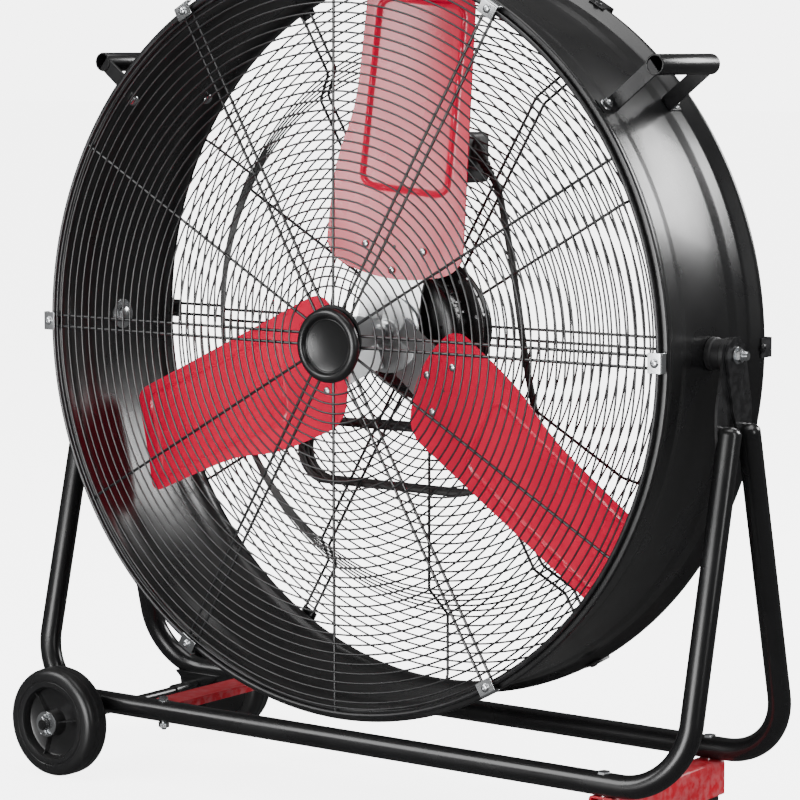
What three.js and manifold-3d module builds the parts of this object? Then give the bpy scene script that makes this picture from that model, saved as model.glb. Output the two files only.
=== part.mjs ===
// A 30 inch drum fan: a sheet drum that tilts between the legs of a tube stand on two wheels.
// Millimetres, +Z up. The fan blows towards -Y, and +X is to the right seen from the front.
// The origin is on the floor, below the middle of the tilt axis.
import * as THREE from "three";
import { mergeVertices } from "three/addons/utils/BufferGeometryUtils.js";
import Module from "manifold-3d";

const wasm = await Module();
wasm.setup();

// ---------- driving dimensions ----------

const gap = 0.3; // between pieces that touch

// Drum
const rimRadius = 400;
const drumDepth = 188;
const wallInset = 12; // rim to the plain band in the middle
const shoulderRise = 3;
const shoulderStart = 42;
const shoulderEnd = 48;
const flareLength = 20;
const sheet = 1.6;
const hem = 4.5;
const drumSides = 36; // a whole number of facets between clips
const drumSetForward = 8; // middle of the drum ahead of the tilt axis

// Wire guards
const ringPitch = 40.2; // every fourth wire of the real guard
const ringWire = 1.3;
const rimWire = 2.5;
const spokeWire = 2;
const wireWeld = 1;
const pairSpacing = 12;
const outerRingInset = 8; // inside the rim
const largestRingInset = 22;
const guardRise = 6; // ring plane beyond the rim
const guardStepInset = 82; // rim to where the rear guard turns inwards
const guardStepWidth = 34; // until it is flat again
const guardFieldInset = 27.5; // from the rim's plane to its flat middle
const hubRing = 31;
const motorRingGap = 13;

// Clips on both rims
const clipWidth = 20;
const clipSheet = 1.5;
const clipAngles = [0, 60, 120, 180, 240, 300];

// Badge
const badgeRadius = 39;
const badgeDepth = 10.5;
const badgeDrop = 5;

// Carrying handles
const handleAngle = 38.6;
const gripRadius = 10.5;
const gripEndInset = 40; // from the rim's plane to each end
const gripStandOff = 57; // rim to the middle of the grip
const strapWidth = 16;
const strapSheet = 3;
const handleBoltInset = 31;

// Stand
const tubeRadius = 12;
const legClearance = 8; // rim to leg, beside the drum
const tubeClearance = 9.5; // rim to bottom tube, below the drum
const tubeSpreadPast = 8; // middle of each bottom tube past the rim, front and back
const bendRadius = 70;
const bendSteps = 5;
const legTop = 80; // tilt axis to the start of the round tube
const legPlateWidth = 36;
const legPlate = 3;
const legPlateInset = 10; // middle of the tube to the plate's inner face
const boltRadius = 3.5;
const dimple = 4;
const dimpleLength = 38;

// Braces
const sideBraceInset = 180; // from the legs on the wheel side
const sideBraceWidth = 34;
const sideFlange = 9;
const footBraceInset = 90; // from the legs on the other side
const footBraceWidth = 30;
const footBraceHeight = 36;
const braceSheet = 2.5;
const braceOverhang = 5;
const padLength = 40;

// Wheels and axle
const wheelRadius = 60;
const wheelWidth = 32;
const wheelClearance = 30; // bottom tube to the middle of each wheel
const wheelInset = 64; // from the legs
const axleRadius = 6;
const axleEnd = 29; // past the middle of each wheel
const axleToTube = 0.5;
const hubBarrel = 11;
const recessRadius = 38;
const recessDepth = 11;

// Tilt bolts
const pivotRadius = 5;
const spacerRadius = 17;
const pivotWasher = 16.5;

// Motor
const motorRadius = 66;
const motorAhead = 48.5; // from the guard's flat middle to the motor's front
const motorBehind = 37.5;
const bellDepth = 12;
const statorFrontInset = 18;
const statorRearInset = 24;
const coreRadius = 36.5;
const shaftRadius = 8;
const motorBoltAngles = [13, 47, 193, 227];
const motorBoltGap = 6.5;

// Rotor
const bladeAngles = [83.3, 203.3, 323.3];
const bladeTipGap = 16;
const bladeRoot = 59;
const bladeRootBow = 35; // how far the root's corners lie past its middle
const bladeShoulder = 90; // widest here
const bladeHalfRoot = 75;
const bladeTrailingTip = 63;
const bladeLeadingTip = 55; // past the step in the leading edge
const bladeStep = 205; // middle of that step
const bladeStepLength = 18;
const bladeTipCorner = 8; // taken off the tip's corners
const bladePitchRoot = 15;
const bladePitchTip = 13;
const bladeCamber = 8;
const bladeAhead = 28; // middle of the blades ahead of the motor
const bladeSheet = 1.6;
const armReach = 112;
const armHalfRoot = 24;
const armHalfTip = 42;
const armSheet = 3;
const armGap = 0.9; // blade to arm, both curved
const rivetRadius = 4.2;
const rivets = [[68, 0], [92, 31.5], [92, -31.5]]; // out along the blade, and across it

// Switch box, on the rear guard
const boxSize = { x: 62, y: 36, z: 54 };
const boxMiddle = { x: 17, z: 184 };
const boxWall = 2.5;
const knobRadius = 14;
const knobHeight = 15;

// Cord
const cordRadius = 3.75;
const reliefLength = 42;
const cordExitOffset = { x: 28, y: 13.85, z: 13 }; // from the box's middle and the hank's first turn
const hankRight = 145;
const hankLeft = -185;
const hankMiddleZ = -146;
const hankHalfWidth = 33;
const hankTurns = 2.75;
const plugLift = 12; // the last turn rises to clear the plug
const hankTurnGap = 0.9;
const tieX = 86;
const tiePull = 11;
const tieLayers = 2.1; // turns of the hank the tie goes round
const tieWidth = 8;
const tieSheet = 1.6;
const plugLength = 48;

// ---------- derived sizes ----------

const halfDepth = drumDepth / 2;
const wallRadius = rimRadius - wallInset;
const shoulderRadius = wallRadius + shoulderRise;
const flareStart = halfDepth - flareLength;
const flareEnd = halfDepth - 4;
const halfStep = Math.PI / drumSides;

const legX = rimRadius + legClearance + tubeRadius;
const tubeDrop = rimRadius + tubeClearance + tubeRadius;
const tubeSpread = halfDepth + tubeSpreadPast;
const axisHeight = tubeDrop + tubeRadius + axleToTube + axleRadius + wheelRadius;
const floorZ = -axisHeight;
const axleZ = floorZ + wheelRadius;
const legLength = Math.hypot(tubeDrop, tubeSpread);
const legAngle = Math.atan2(tubeSpread, tubeDrop);
const sideBraceX = sideBraceInset - legX;
const footBraceX = legX - footBraceInset;
const braceEnd = tubeSpread + braceOverhang;
const wheelX = wheelInset - legX;
const wheelY = tubeSpread + tubeRadius + wheelClearance;
const axleLength = 2 * (wheelY + axleEnd);

const outerRing = rimRadius - outerRingInset;
const largestRing = rimRadius - largestRingInset;
const guardStepRadius = rimRadius - guardStepInset;
const guardFieldRadius = guardStepRadius - guardStepWidth;
const guardFieldY = halfDepth - guardFieldInset;
const motorRing = motorRadius + motorRingGap;
const guardRingY = halfDepth + guardRise;
const raisedSpoke = wireWeld + gap;
const spokeY = guardRingY + ringWire + spokeWire - wireWeld;
const fieldSpokeY = guardFieldY + ringWire + spokeWire - wireWeld;
const fieldRear = fieldSpokeY + raisedSpoke + spokeWire;
const guardFace = spokeY + raisedSpoke + spokeWire;
const boxFront = fieldRear + gap;
const boxRear = boxFront + boxSize.y;

const gripLength = 2 * (halfDepth - gripEndInset);
const gripReach = rimRadius + gripStandOff;
const handleBoltY = halfDepth - handleBoltInset;

const motorFront = guardFieldY - motorAhead;
const motorRear = guardFieldY + motorBehind;
const statorStart = motorFront + statorFrontInset;
const statorEnd = motorRear - statorRearInset;
const motorBoltCircle = motorRadius + motorBoltGap;
const bladeTip = wallRadius - bladeTipGap;
const bladeY = motorFront - bladeAhead;

const hankStartY = fieldRear + cordRadius + gap;
const hankClimb = 2 * cordRadius + hankTurnGap; // each turn behind the last
const cordExit = {
  x: boxMiddle.x + cordExitOffset.x,
  y: hankStartY + cordExitOffset.y,
  z: boxMiddle.z + cordExitOffset.z,
};

// The flat of a drum facet is nearer the axis than its corner.
const facet = (radius) => radius * Math.cos(halfStep);
const radians = THREE.MathUtils.degToRad;

// What lies along each tilt bolt, measured out from the drum's axis.
const pivotStack = {};
pivotStack.inside = facet(wallRadius - sheet) - gap;
pivotStack.spacerStart = facet(wallRadius) + gap;
pivotStack.frontPlate = legX - legPlateInset;
pivotStack.spacerEnd = pivotStack.frontPlate - gap;
pivotStack.rearPlate = pivotStack.frontPlate + legPlate + gap;
pivotStack.washer = pivotStack.rearPlate + legPlate + gap;
pivotStack.end = pivotStack.washer + 13;

// ---------- materials ----------

function paint(color, roughness, metalness) {
  return new THREE.MeshStandardMaterial({ color, roughness, metalness });
}
const blackPowder = paint(0x1b1b1c, 0.42, 0.1);
const blackGloss = paint(0x121213, 0.22, 0.1);
const blackPlastic = paint(0x18181a, 0.5, 0);
const blackRubber = paint(0x161616, 0.8, 0);
const redPaint = paint(0xe0102f, 0.35, 0.05);
const redBrace = paint(0xc81d24, 0.45, 0.05);
const zinc = paint(0xd9dcdc, 0.3, 0.9);
const aluminium = paint(0xc4c6c8, 0.35, 0.9);
const steel = paint(0x8f9295, 0.4, 0.9);
const copper = paint(0x9a5a32, 0.45, 0.8);

// ---------- shapes ----------

// A closed geometry as a solid, with its faces turned outwards.
function solid(geometry) {
  const bare = geometry.clone();
  bare.deleteAttribute("normal");
  bare.deleteAttribute("uv");
  const merged = mergeVertices(bare, 1e-4);
  const vertProperties = merged.getAttribute("position").array;
  const triVerts = new Uint32Array(merged.index.array);
  const made = new wasm.Manifold(new wasm.Mesh({ numProp: 3, vertProperties, triVerts }));
  if (made.volume() > 0) return made;
  for (let i = 0; i < triVerts.length; i += 3) {
    [triVerts[i + 1], triVerts[i + 2]] = [triVerts[i + 2], triVerts[i + 1]];
  }
  return new wasm.Manifold(new wasm.Mesh({ numProp: 3, vertProperties, triVerts }));
}

function geometryOf(shape) {
  const { vertProperties, triVerts } = shape.getMesh();
  const geometry = new THREE.BufferGeometry();
  geometry.setAttribute("position", new THREE.BufferAttribute(vertProperties, 3));
  geometry.setIndex(new THREE.BufferAttribute(triVerts, 1));
  geometry.computeVertexNormals();
  return geometry;
}

const join = (shapes) => shapes.reduce((sum, shape) => sum.add(shape));
const cut = (shape, tools) => tools.reduce((left, tool) => left.subtract(tool), shape);

function block(width, depth, height, x, y, z) {
  return solid(new THREE.BoxGeometry(width, depth, height).translate(x, y, z));
}

// A rod or cone between two points.
function rod(from, to, radius, sides = 12, endRadius = radius) {
  const start = new THREE.Vector3(...from);
  const along = new THREE.Vector3(...to).sub(start);
  const geometry = new THREE.CylinderGeometry(endRadius, radius, along.length(), sides);
  geometry.translate(0, along.length() / 2, 0);
  const up = new THREE.Vector3(0, 1, 0);
  const turn = new THREE.Quaternion().setFromUnitVectors(up, along.normalize());
  geometry.applyQuaternion(turn);
  return solid(geometry.translate(start.x, start.y, start.z));
}

// A profile of [radius, y] points turned about Y, with the middle of a facet at +X.
function turned(profile, segments) {
  const points = profile.map(([radius, y]) => new THREE.Vector2(radius, y));
  const start = Math.PI / 2 + Math.PI / segments;
  return solid(new THREE.LatheGeometry(points, segments, start));
}

// A closed profile turned into a ring.
const turnedRing = (profile, segments) => turned([...profile, profile[0]], segments);

// A wire ring of triangular section about Y, its edge towards the outside of the drum.
function wireRing(radius, y, wire, segments) {
  const outward = Math.sign(y) * wire;
  const corners = [90, 210, 330].map(radians);
  const profile = corners.map((a) => [radius + wire * Math.cos(a), y + outward * Math.sin(a)]);
  return turnedRing(profile, segments);
}

// A path through its stations, sampled at them, however unevenly they lie.
class Route extends THREE.Curve {
  constructor(stations) {
    super();
    this.stations = stations;
  }
  getPoint(t, target = new THREE.Vector3()) {
    const place = t * (this.stations.length - 1);
    const index = Math.min(Math.floor(place), this.stations.length - 2);
    return target.lerpVectors(this.stations[index], this.stations[index + 1], place - index);
  }
  getUtoTmapping(u) {
    return u;
  }
  direction(index) {
    const last = this.stations.length - 2;
    const i = THREE.MathUtils.clamp(index, 0, last);
    return new THREE.Vector3().subVectors(this.stations[i + 1], this.stations[i]).normalize();
  }
  getTangent(t, target = new THREE.Vector3()) {
    const place = t * (this.stations.length - 1);
    const before = this.direction(Math.ceil(place - 1e-6) - 1);
    const after = this.direction(Math.floor(place + 1e-6));
    return target.addVectors(before, after).normalize();
  }
}

// A round bar along a list of points.
function bar(stations, radius, sides) {
  const outline = new THREE.Shape();
  for (let i = 0; i < sides; i++) {
    const angle = (2 * Math.PI * i) / sides;
    const corner = [radius * Math.cos(angle), radius * Math.sin(angle)];
    if (i === 0) outline.moveTo(...corner);
    else outline.lineTo(...corner);
  }
  outline.closePath();
  const extrudePath = new Route(stations);
  const steps = stations.length - 1;
  return solid(new THREE.ExtrudeGeometry(outline, { steps, extrudePath }));
}

const corner = (x, y, z) => new THREE.Vector3(x, y, z);

// ---------- the scene graph ----------

const fan = new THREE.Group();
fan.position.z = axisHeight;
const stand = new THREE.Group();
const drum = new THREE.Group();
drum.position.y = -drumSetForward;
const rotor = new THREE.Group();
drum.add(rotor);
fan.add(stand, drum);

function place(parent, name, shape, material) {
  const mesh = new THREE.Mesh(geometryOf(shape), material);
  mesh.name = name;
  parent.add(mesh);
  return mesh;
}

// ---------- stand ----------

// A point of a leg's slanted plane: side is -1 in front and 1 behind.
function onLeg(x, down, side) {
  const y = side * down * Math.sin(legAngle);
  return corner(x, y, -down * Math.cos(legAngle));
}

function frameRoute(side) {
  const stations = [onLeg(-legX, legTop, side)];
  for (const end of [-1, 1]) {
    for (let i = 0; i <= bendSteps; i++) {
      const angle = (Math.PI / 2) * (end < 0 ? i / bendSteps : 1 - i / bendSteps);
      const x = end * (legX - bendRadius + bendRadius * Math.cos(angle));
      stations.push(onLeg(x, legLength - bendRadius + bendRadius * Math.sin(angle), side));
    }
  }
  stations.push(onLeg(legX, legTop, side));
  return stations;
}

// The flattened end of a leg: a drilled plate with a round top.
function legPlateShape(x, side) {
  const half = legPlateWidth / 2;
  const outline = new THREE.Shape();
  outline.moveTo(-tubeRadius, -legTop - 8);
  outline.lineTo(tubeRadius, -legTop - 8);
  outline.lineTo(half, -legTop + 22);
  outline.lineTo(half, 0);
  outline.absarc(0, 0, half, 0, Math.PI, false);
  outline.lineTo(-half, -legTop + 22);
  outline.closePath();
  const hole = new THREE.Path();
  hole.absarc(0, 0, pivotRadius + gap, 0, 2 * Math.PI, true);
  outline.holes.push(hole);
  const options = { depth: legPlate, bevelEnabled: false, curveSegments: 5 };
  const geometry = new THREE.ExtrudeGeometry(outline, options);
  geometry.rotateX(Math.PI / 2).rotateZ(Math.PI / 2);
  return solid(geometry.rotateX(side * legAngle).translate(x, 0, 0));
}

function frame(side) {
  const plateX = pivotStack[side < 0 ? "frontPlate" : "rearPlate"];
  const shape = join([
    bar(frameRoute(side), tubeRadius, 10),
    legPlateShape(plateX, side),
    legPlateShape(-plateX - legPlate, side),
  ]);
  const y = side * tubeSpread;
  const tools = [sideBraceX, footBraceX].flatMap((x) => [
    block(dimpleLength, 40, 2 * dimple, x, y, -tubeDrop + tubeRadius),
    rod([x, y, -tubeDrop - 20], [x, y, -tubeDrop + 20], boltRadius + gap, 8),
  ]);
  return cut(shape, tools);
}

function pivotBolt(side) {
  const { inside, washer, end } = pivotStack;
  const along = (from, to, radius, sides = 12) => {
    return rod([side * from, 0, 0], [side * to, 0, 0], radius, sides);
  };
  return join([
    along(inside - 8, inside - 2, 8.5, 6),
    along(inside - 2.2, inside, pivotWasher, 14),
    along(inside - 1, end, pivotRadius),
    along(washer, washer + 1.6, 13),
    along(washer + 1.4, washer + 9, 9, 6),
  ]);
}

// A bolt along Z with its head on top and its nut below.
function standingBolt(x, y, headZ, nutZ, headRadius = 7) {
  return join([
    rod([x, y, headZ], [x, y, headZ + 4.5], headRadius, 10, headRadius * 0.8),
    rod([x, y, nutZ - 8], [x, y, headZ + 1], boltRadius, 8),
    rod([x, y, nutZ - 6], [x, y, nutZ], 6.5, 6),
  ]);
}

function sideBrace() {
  const top = -tubeDrop + tubeRadius - dimple + gap + braceSheet;
  const between = 2 * (tubeSpread - tubeRadius - 4);
  const flangeX = (sideBraceWidth - braceSheet) / 2;
  const shape = join([
    block(sideBraceWidth, 2 * braceEnd, braceSheet, sideBraceX, 0, top - braceSheet / 2),
    ...[-1, 1].map((end) => {
      const x = sideBraceX + end * flangeX;
      return block(braceSheet, between, sideFlange, x, 0, top - sideFlange / 2);
    }),
  ]);
  const holes = [-1, 1].map((end) => {
    const y = end * tubeSpread;
    return rod([sideBraceX, y, top - 9], [sideBraceX, y, top + 9], boltRadius + gap);
  });
  return cut(shape, holes);
}

const footTop = -tubeDrop - tubeRadius - gap;

function footBrace() {
  const z = footTop - footBraceHeight / 2;
  const inner = footBraceWidth - 2 * braceSheet;
  const shape = block(footBraceWidth, 2 * braceEnd, footBraceHeight, footBraceX, 0, z);
  const holes = [-1, 1].map((end) => {
    const y = end * tubeSpread;
    return rod([footBraceX, y, footTop - 9], [footBraceX, y, footTop + 9], boltRadius + gap);
  });
  const hollow = block(inner, 300, footBraceHeight, footBraceX, 0, z - braceSheet);
  return cut(shape, [hollow, ...holes]);
}

// A rubber foot held between the channel's sides, narrower where it meets the floor.
function footPad(side) {
  const width = footBraceWidth - 2 * braceSheet - 2 * gap;
  const top = footTop - footBraceHeight + 24;
  const mouth = footTop - footBraceHeight;
  const y = side * (braceEnd - padLength / 2 - 2);
  const neck = (z, height, w, l) => block(w, l, height, footBraceX, y, z);
  return join([
    neck((top + mouth) / 2, top - mouth + 1, width, padLength),
    neck((mouth + floorZ) / 2, mouth - floorZ, width - 3, padLength - 4),
  ]);
}

const saddleLength = 28;
const saddleInside = tubeSpread - saddleLength / 2;
const hubInside = wheelY - wheelWidth / 2 - 3.4;

function axle() {
  const at = (y) => [wheelX, y, axleZ];
  const pin = (side) => {
    const y = side * (axleLength / 2 - 4.5);
    return rod([wheelX, y, axleZ - 12], [wheelX, y, axleZ + 10], 1.4, 5);
  };
  return join([
    rod(at(-axleLength / 2), at(axleLength / 2), axleRadius, 12),
    rod(at(50), at(saddleInside - gap), axleRadius + 2, 12),
    ...[-1, 1].map((side) => {
      const outside = saddleInside + saddleLength + gap;
      return rod(at(side * outside), at(side * (hubInside - gap)), axleRadius + 3, 12);
    }),
    pin(-1),
    pin(1),
  ]);
}

function axleSaddle(side) {
  const y = side * tubeSpread;
  const shape = block(76, saddleLength, 26, wheelX + 22, y, axleZ + 3);
  const tube = bar(frameRoute(side), tubeRadius + gap, 10);
  const from = [wheelX, y - 20, axleZ];
  const bore = rod(from, [wheelX, y + 20, axleZ], axleRadius + 0.5, 12);
  return cut(shape, [tube, bore]);
}

// A moulded wheel about Y at its own centre, hub outwards towards -Y.
function wheel() {
  const half = wheelWidth / 2;
  const floor = half - recessDepth;
  const tread = turnedRing(
    [
      [axleRadius + 0.5, -half - 4],
      [hubBarrel, -half - 4],
      [hubBarrel + 1, -floor],
      [recessRadius, -floor],
      [recessRadius + 2, -half + 1],
      [wheelRadius - 8, -half],
      [wheelRadius, -half + 8],
      [wheelRadius, half - 8],
      [wheelRadius - 8, half],
      [hubBarrel, half + 3.4],
      [axleRadius + 0.5, half + 3.4],
    ],
    20,
  );
  const ribs = [45, 135, 225, 315].map((angle) => {
    const rib = new THREE.BoxGeometry(recessRadius - hubBarrel + 2, recessDepth - 2, 2.5);
    rib.translate((recessRadius + hubBarrel) / 2, -floor - (recessDepth - 2) / 2 + 0.5, 0);
    return solid(rib.rotateY(radians(angle)));
  });
  return join([tread, ...ribs]);
}

function wheelWasher(side) {
  const start = wheelY + wheelWidth / 2 + 4 + gap;
  const shape = rod([wheelX, side * start, axleZ], [wheelX, side * (start + 2), axleZ], 14, 16);
  const bore = rod([wheelX, side * 100, axleZ], [wheelX, side * 200, axleZ], axleRadius + 0.5, 12);
  return shape.subtract(bore);
}

place(stand, "front_frame", frame(-1), blackPowder);
place(stand, "rear_frame", frame(1), blackPowder);
place(stand, "side_brace", sideBrace(), redBrace);
place(stand, "foot_brace", footBrace(), redBrace);
place(stand, "axle", axle(), blackPowder);

const tabTop = -tubeDrop + tubeRadius - dimple + gap + braceSheet + gap;
for (const [side, end] of [[-1, "front"], [1, "rear"]]) {
  const y = side * tubeSpread;
  const tubeBottom = -tubeDrop - tubeRadius - gap;
  const dimpleTop = -tubeDrop + tubeRadius - dimple + gap;
  const sideBolt = standingBolt(sideBraceX, y, tabTop, tubeBottom);
  const footBolt = standingBolt(footBraceX, y, dimpleTop, footTop - braceSheet - gap);
  place(stand, `brace_bolt_side_${end}`, sideBolt, zinc);
  place(stand, `brace_bolt_foot_${end}`, footBolt, zinc);
  place(stand, `foot_pad_${end}`, footPad(side), blackRubber);
  place(stand, `axle_saddle_${end}`, axleSaddle(side), blackPowder);
  place(stand, `wheel_washer_${end}`, wheelWasher(side), zinc);
  const rolling = place(stand, `wheel_${end}`, wheel(), blackPlastic);
  rolling.position.set(wheelX, side * wheelY, axleZ);
  rolling.rotation.z = side < 0 ? 0 : Math.PI;
}
place(stand, "pivot_bolt_left", pivotBolt(-1), zinc);
place(stand, "pivot_bolt_right", pivotBolt(1), zinc);

// ---------- drum ----------

function pivotSpacer(side) {
  const { spacerStart, spacerEnd } = pivotStack;
  const y = drumSetForward;
  const at = (x) => [side * x, y, 0];
  const bore = rod(at(spacerStart - 5), at(spacerEnd + 5), pivotRadius + 0.5, 12);
  return rod(at(spacerStart), at(spacerEnd), spacerRadius, 20).subtract(bore);
}

function radialRod(angle, y, from, to, radius, sides = 12) {
  const out = (r) => [r * Math.cos(angle), y, r * Math.sin(angle)];
  return rod(out(from), out(to), radius, sides);
}

const handleAngles = [handleAngle, 180 - handleAngle];
const clipScrewY = halfDepth - 10;

function drumShell() {
  const flareInside = rimRadius - hem;
  const half = [
    [wallRadius, shoulderStart],
    [shoulderRadius, shoulderEnd],
    [shoulderRadius, flareStart],
    [rimRadius, flareEnd],
    [rimRadius, halfDepth],
    [flareInside, halfDepth],
    [flareInside, flareEnd - 5],
    [shoulderRadius - sheet, flareStart + 0.8],
    [shoulderRadius - sheet, shoulderEnd + 0.6],
    [wallRadius - sheet, shoulderStart + 0.6],
  ];
  const mirrored = half.map(([radius, y]) => [radius, -y]).reverse();
  const shell = turnedRing([...half, ...mirrored], drumSides);
  const holes = [0, Math.PI].map((angle) => {
    return radialRod(angle, drumSetForward, wallRadius - 20, wallRadius + 20, pivotRadius + gap, 12);
  });
  for (const angle of handleAngles.map(radians)) {
    for (const y of [-handleBoltY, handleBoltY]) {
      holes.push(radialRod(angle, y, wallRadius - 20, wallRadius + 20, boltRadius + 0.9, 6));
    }
  }
  return cut(shell, holes);
}

// One rim clip at +X, on the side of the drum given: a bent strip with its screw. The front
// clips lie on the spokes, and the rear ones are welded to them.
function clip(side) {
  const faceY = guardFace + (side < 0 ? gap : -wireWeld);
  const outside = facet(rimRadius) + gap;
  const inner = outerRing - 8;
  const width = clipWidth;
  const face = (outside + clipSheet - inner) / 2;
  const backY = clipScrewY - 7;
  const legLong = faceY + clipSheet - backY;
  return join([
    block(2 * face, clipSheet, width, inner + face, side * (faceY + clipSheet / 2), 0),
    block(clipSheet, legLong, width, outside + clipSheet / 2, side * (backY + legLong / 2), 0),
    radialRod(0, side * clipScrewY, outside + 0.5, outside + clipSheet + 2.4, 4.5, 8),
  ]);
}

// A spoke through [radius, y] points at an angle, moved sideways for one of a pair.
function spoke(route, angle, offset) {
  const stations = route.map(([radius, y]) => {
    const x = radius * Math.cos(angle) - offset * Math.sin(angle);
    return corner(x, y, radius * Math.sin(angle) + offset * Math.cos(angle));
  });
  return bar(stations, spokeWire, 4);
}

// Pairs of spokes run to the clips and single spokes halfway between them. The thick rings
// at both ends stand higher than the thin ones between: all the spokes are welded to those,
// and every second single spoke, which lies lower, to the thin rings as well.
function spokes(route) {
  const raised = route.map(([radius, y]) => [radius, y + Math.sign(y) * raisedSpoke]);
  return clipAngles.flatMap((degrees, i) => [
    spoke(raised, radians(degrees), pairSpacing / 2),
    spoke(raised, radians(degrees), -pairSpacing / 2),
    spoke(i % 2 === 0 ? route : raised, radians(degrees + 30), 0),
  ]);
}

// Radii of rings a pitch apart, from the largest inwards.
function ringRadii(from, to) {
  const count = Math.floor((from - to) / ringPitch + 1e-6) + 1;
  return Array.from({ length: count }, (_, i) => from - i * ringPitch);
}

function ringSegments(radius) {
  return radius > 250 ? 24 : radius > 120 ? 16 : 12;
}

const wireRings = (stations) => {
  return stations.map(([radius, y]) => wireRing(radius, y, ringWire, ringSegments(radius)));
};

function frontGuard() {
  const rings = ringRadii(largestRing, hubRing + ringPitch).map((r) => [r, -guardRingY]);
  const route = [
    [hubRing - 3, -spokeY],
    [outerRing + 1, -spokeY],
  ];
  return join([
    wireRing(outerRing, -guardRingY, rimWire, 30),
    wireRing(hubRing, -guardRingY, rimWire, 16),
    ...wireRings(rings),
    ...spokes(route),
  ]);
}

function rearGuard() {
  const stepCount = 2;
  const rings = ringRadii(largestRing, guardStepRadius).map((r) => [r, guardRingY]);
  for (let i = 1; i < stepCount; i++) {
    const radius = THREE.MathUtils.lerp(guardStepRadius, guardFieldRadius, i / stepCount);
    rings.push([radius, THREE.MathUtils.lerp(guardRingY, guardFieldY, i / stepCount)]);
  }
  rings.push(...ringRadii(guardFieldRadius, motorRing + 12).map((r) => [r, guardFieldY]));
  const route = [
    [outerRing + 1, spokeY],
    [guardStepRadius + 1, spokeY],
    [guardFieldRadius + 1, fieldSpokeY],
    [motorRing - 1, fieldSpokeY],
  ];
  const clips = clipAngles.map((degrees) => {
    return clip(1).rotate([0, -degrees, 0]);
  });
  return join([
    wireRing(outerRing, guardRingY, rimWire, 30),
    wireRing(motorRing, guardFieldY, rimWire, 20),
    ...wireRings(rings),
    ...spokes(route),
    ...clips,
  ]);
}

function badge() {
  const back = -guardFace - gap;
  const front = back - badgeDepth;
  const profile = [
    [0, back],
    [badgeRadius - 1, back],
    [badgeRadius, back - 3],
    [badgeRadius - 3, front + 1],
    [badgeRadius - 7, front],
    [badgeRadius - 10, front + 1.5],
    [badgeRadius - 12, front + 6],
    [0, front + 6.5],
  ];
  return turned(profile, 24);
}

// A handle at +X: a rolled grip on two straps, each with a foot bolted to the drum.
const footBase = facet(shoulderRadius) + gap + 0.3; // clear of the facet's slant

function handle() {
  const legY = gripLength / 2 - strapSheet - 1;
  const grip = rod([gripReach, -gripLength / 2, 0], [gripReach, gripLength / 2, 0], gripRadius, 16);
  const bore = rod([gripReach, -200, 0], [gripReach, 200, 0], gripRadius - 1.8, 16);
  const parts = [];
  for (const end of [-1, 1]) {
    const legLong = gripReach - footBase;
    const y = end * (legY + strapSheet / 2);
    const footLong = flareStart - legY - 1;
    const footY = end * (legY + footLong / 2);
    parts.push(block(legLong, strapSheet, strapWidth, footBase + legLong / 2, y, 0));
    parts.push(block(strapSheet, footLong, strapWidth, footBase + strapSheet / 2, footY, 0));
  }
  const holes = [-1, 1].map((end) => {
    return radialRod(0, end * handleBoltY, footBase - 5, footBase + 9, boltRadius + 0.9, 6);
  });
  return cut(join([grip, ...parts]), [bore, ...holes]);
}

// A handle bolt at +X: round head inside the drum, washer and nut on the handle's foot.
function handleBolt(end) {
  const inside = facet(shoulderRadius - sheet) - gap;
  const outside = footBase + strapSheet + gap;
  const y = end * handleBoltY;
  return join([
    radialRod(0, y, inside - 4, inside, 6.5, 8),
    radialRod(0, y, inside - 1, outside + 8, boltRadius, 6),
    radialRod(0, y, outside, outside + 6, 6.5, 6),
  ]);
}

place(drum, "drum_shell", drumShell(), blackGloss);
place(drum, "front_guard", frontGuard(), blackGloss);
place(drum, "rear_guard", rearGuard(), blackGloss);
place(drum, "badge", badge(), blackGloss).position.z = -badgeDrop;
place(drum, "pivot_spacer_left", pivotSpacer(-1), blackPlastic);
place(drum, "pivot_spacer_right", pivotSpacer(1), blackPlastic);

clipAngles.forEach((degrees, i) => {
  place(drum, `front_clip_${i + 1}`, clip(-1), zinc).rotation.y = -radians(degrees);
});

for (const [name, degrees] of [["right", handleAngles[0]], ["left", handleAngles[1]]]) {
  const carrier = new THREE.Group();
  carrier.rotation.y = -radians(degrees);
  drum.add(carrier);
  place(carrier, `handle_${name}`, handle(), blackGloss);
  place(carrier, `handle_bolt_${name}_front`, handleBolt(-1), zinc);
  place(carrier, `handle_bolt_${name}_rear`, handleBolt(1), zinc);
}

// ---------- motor ----------

const housingStart = motorFront + bellDepth;
const housingEnd = motorRear - bellDepth - 4;
const statorRadius = motorRadius - 4;
const lugY = guardFieldY - rimWire / 2 - gap;

function motorHousing() {
  const tube = turnedRing(
    [
      [motorRadius, housingStart + gap],
      [motorRadius, housingEnd - gap],
      [statorRadius + 0.5, housingEnd - gap],
      [statorRadius + 0.5, housingStart + gap],
    ],
    20,
  );
  const lugs = motorBoltAngles.map((degrees) => {
    const long = motorBoltCircle + 6 - (motorRadius - 1.5);
    const lug = new THREE.BoxGeometry(long, 6, 14);
    lug.translate(motorRadius - 1.5 + long / 2, lugY - 3, 0);
    return solid(lug.rotateY(-radians(degrees)));
  });
  const holes = motorBoltAngles.map((degrees) => {
    const x = motorBoltCircle * Math.cos(radians(degrees));
    const z = motorBoltCircle * Math.sin(radians(degrees));
    return rod([x, lugY - 10, z], [x, lugY + 5, z], 3, 6);
  });
  return cut(join([tube, ...lugs]), holes);
}

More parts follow.
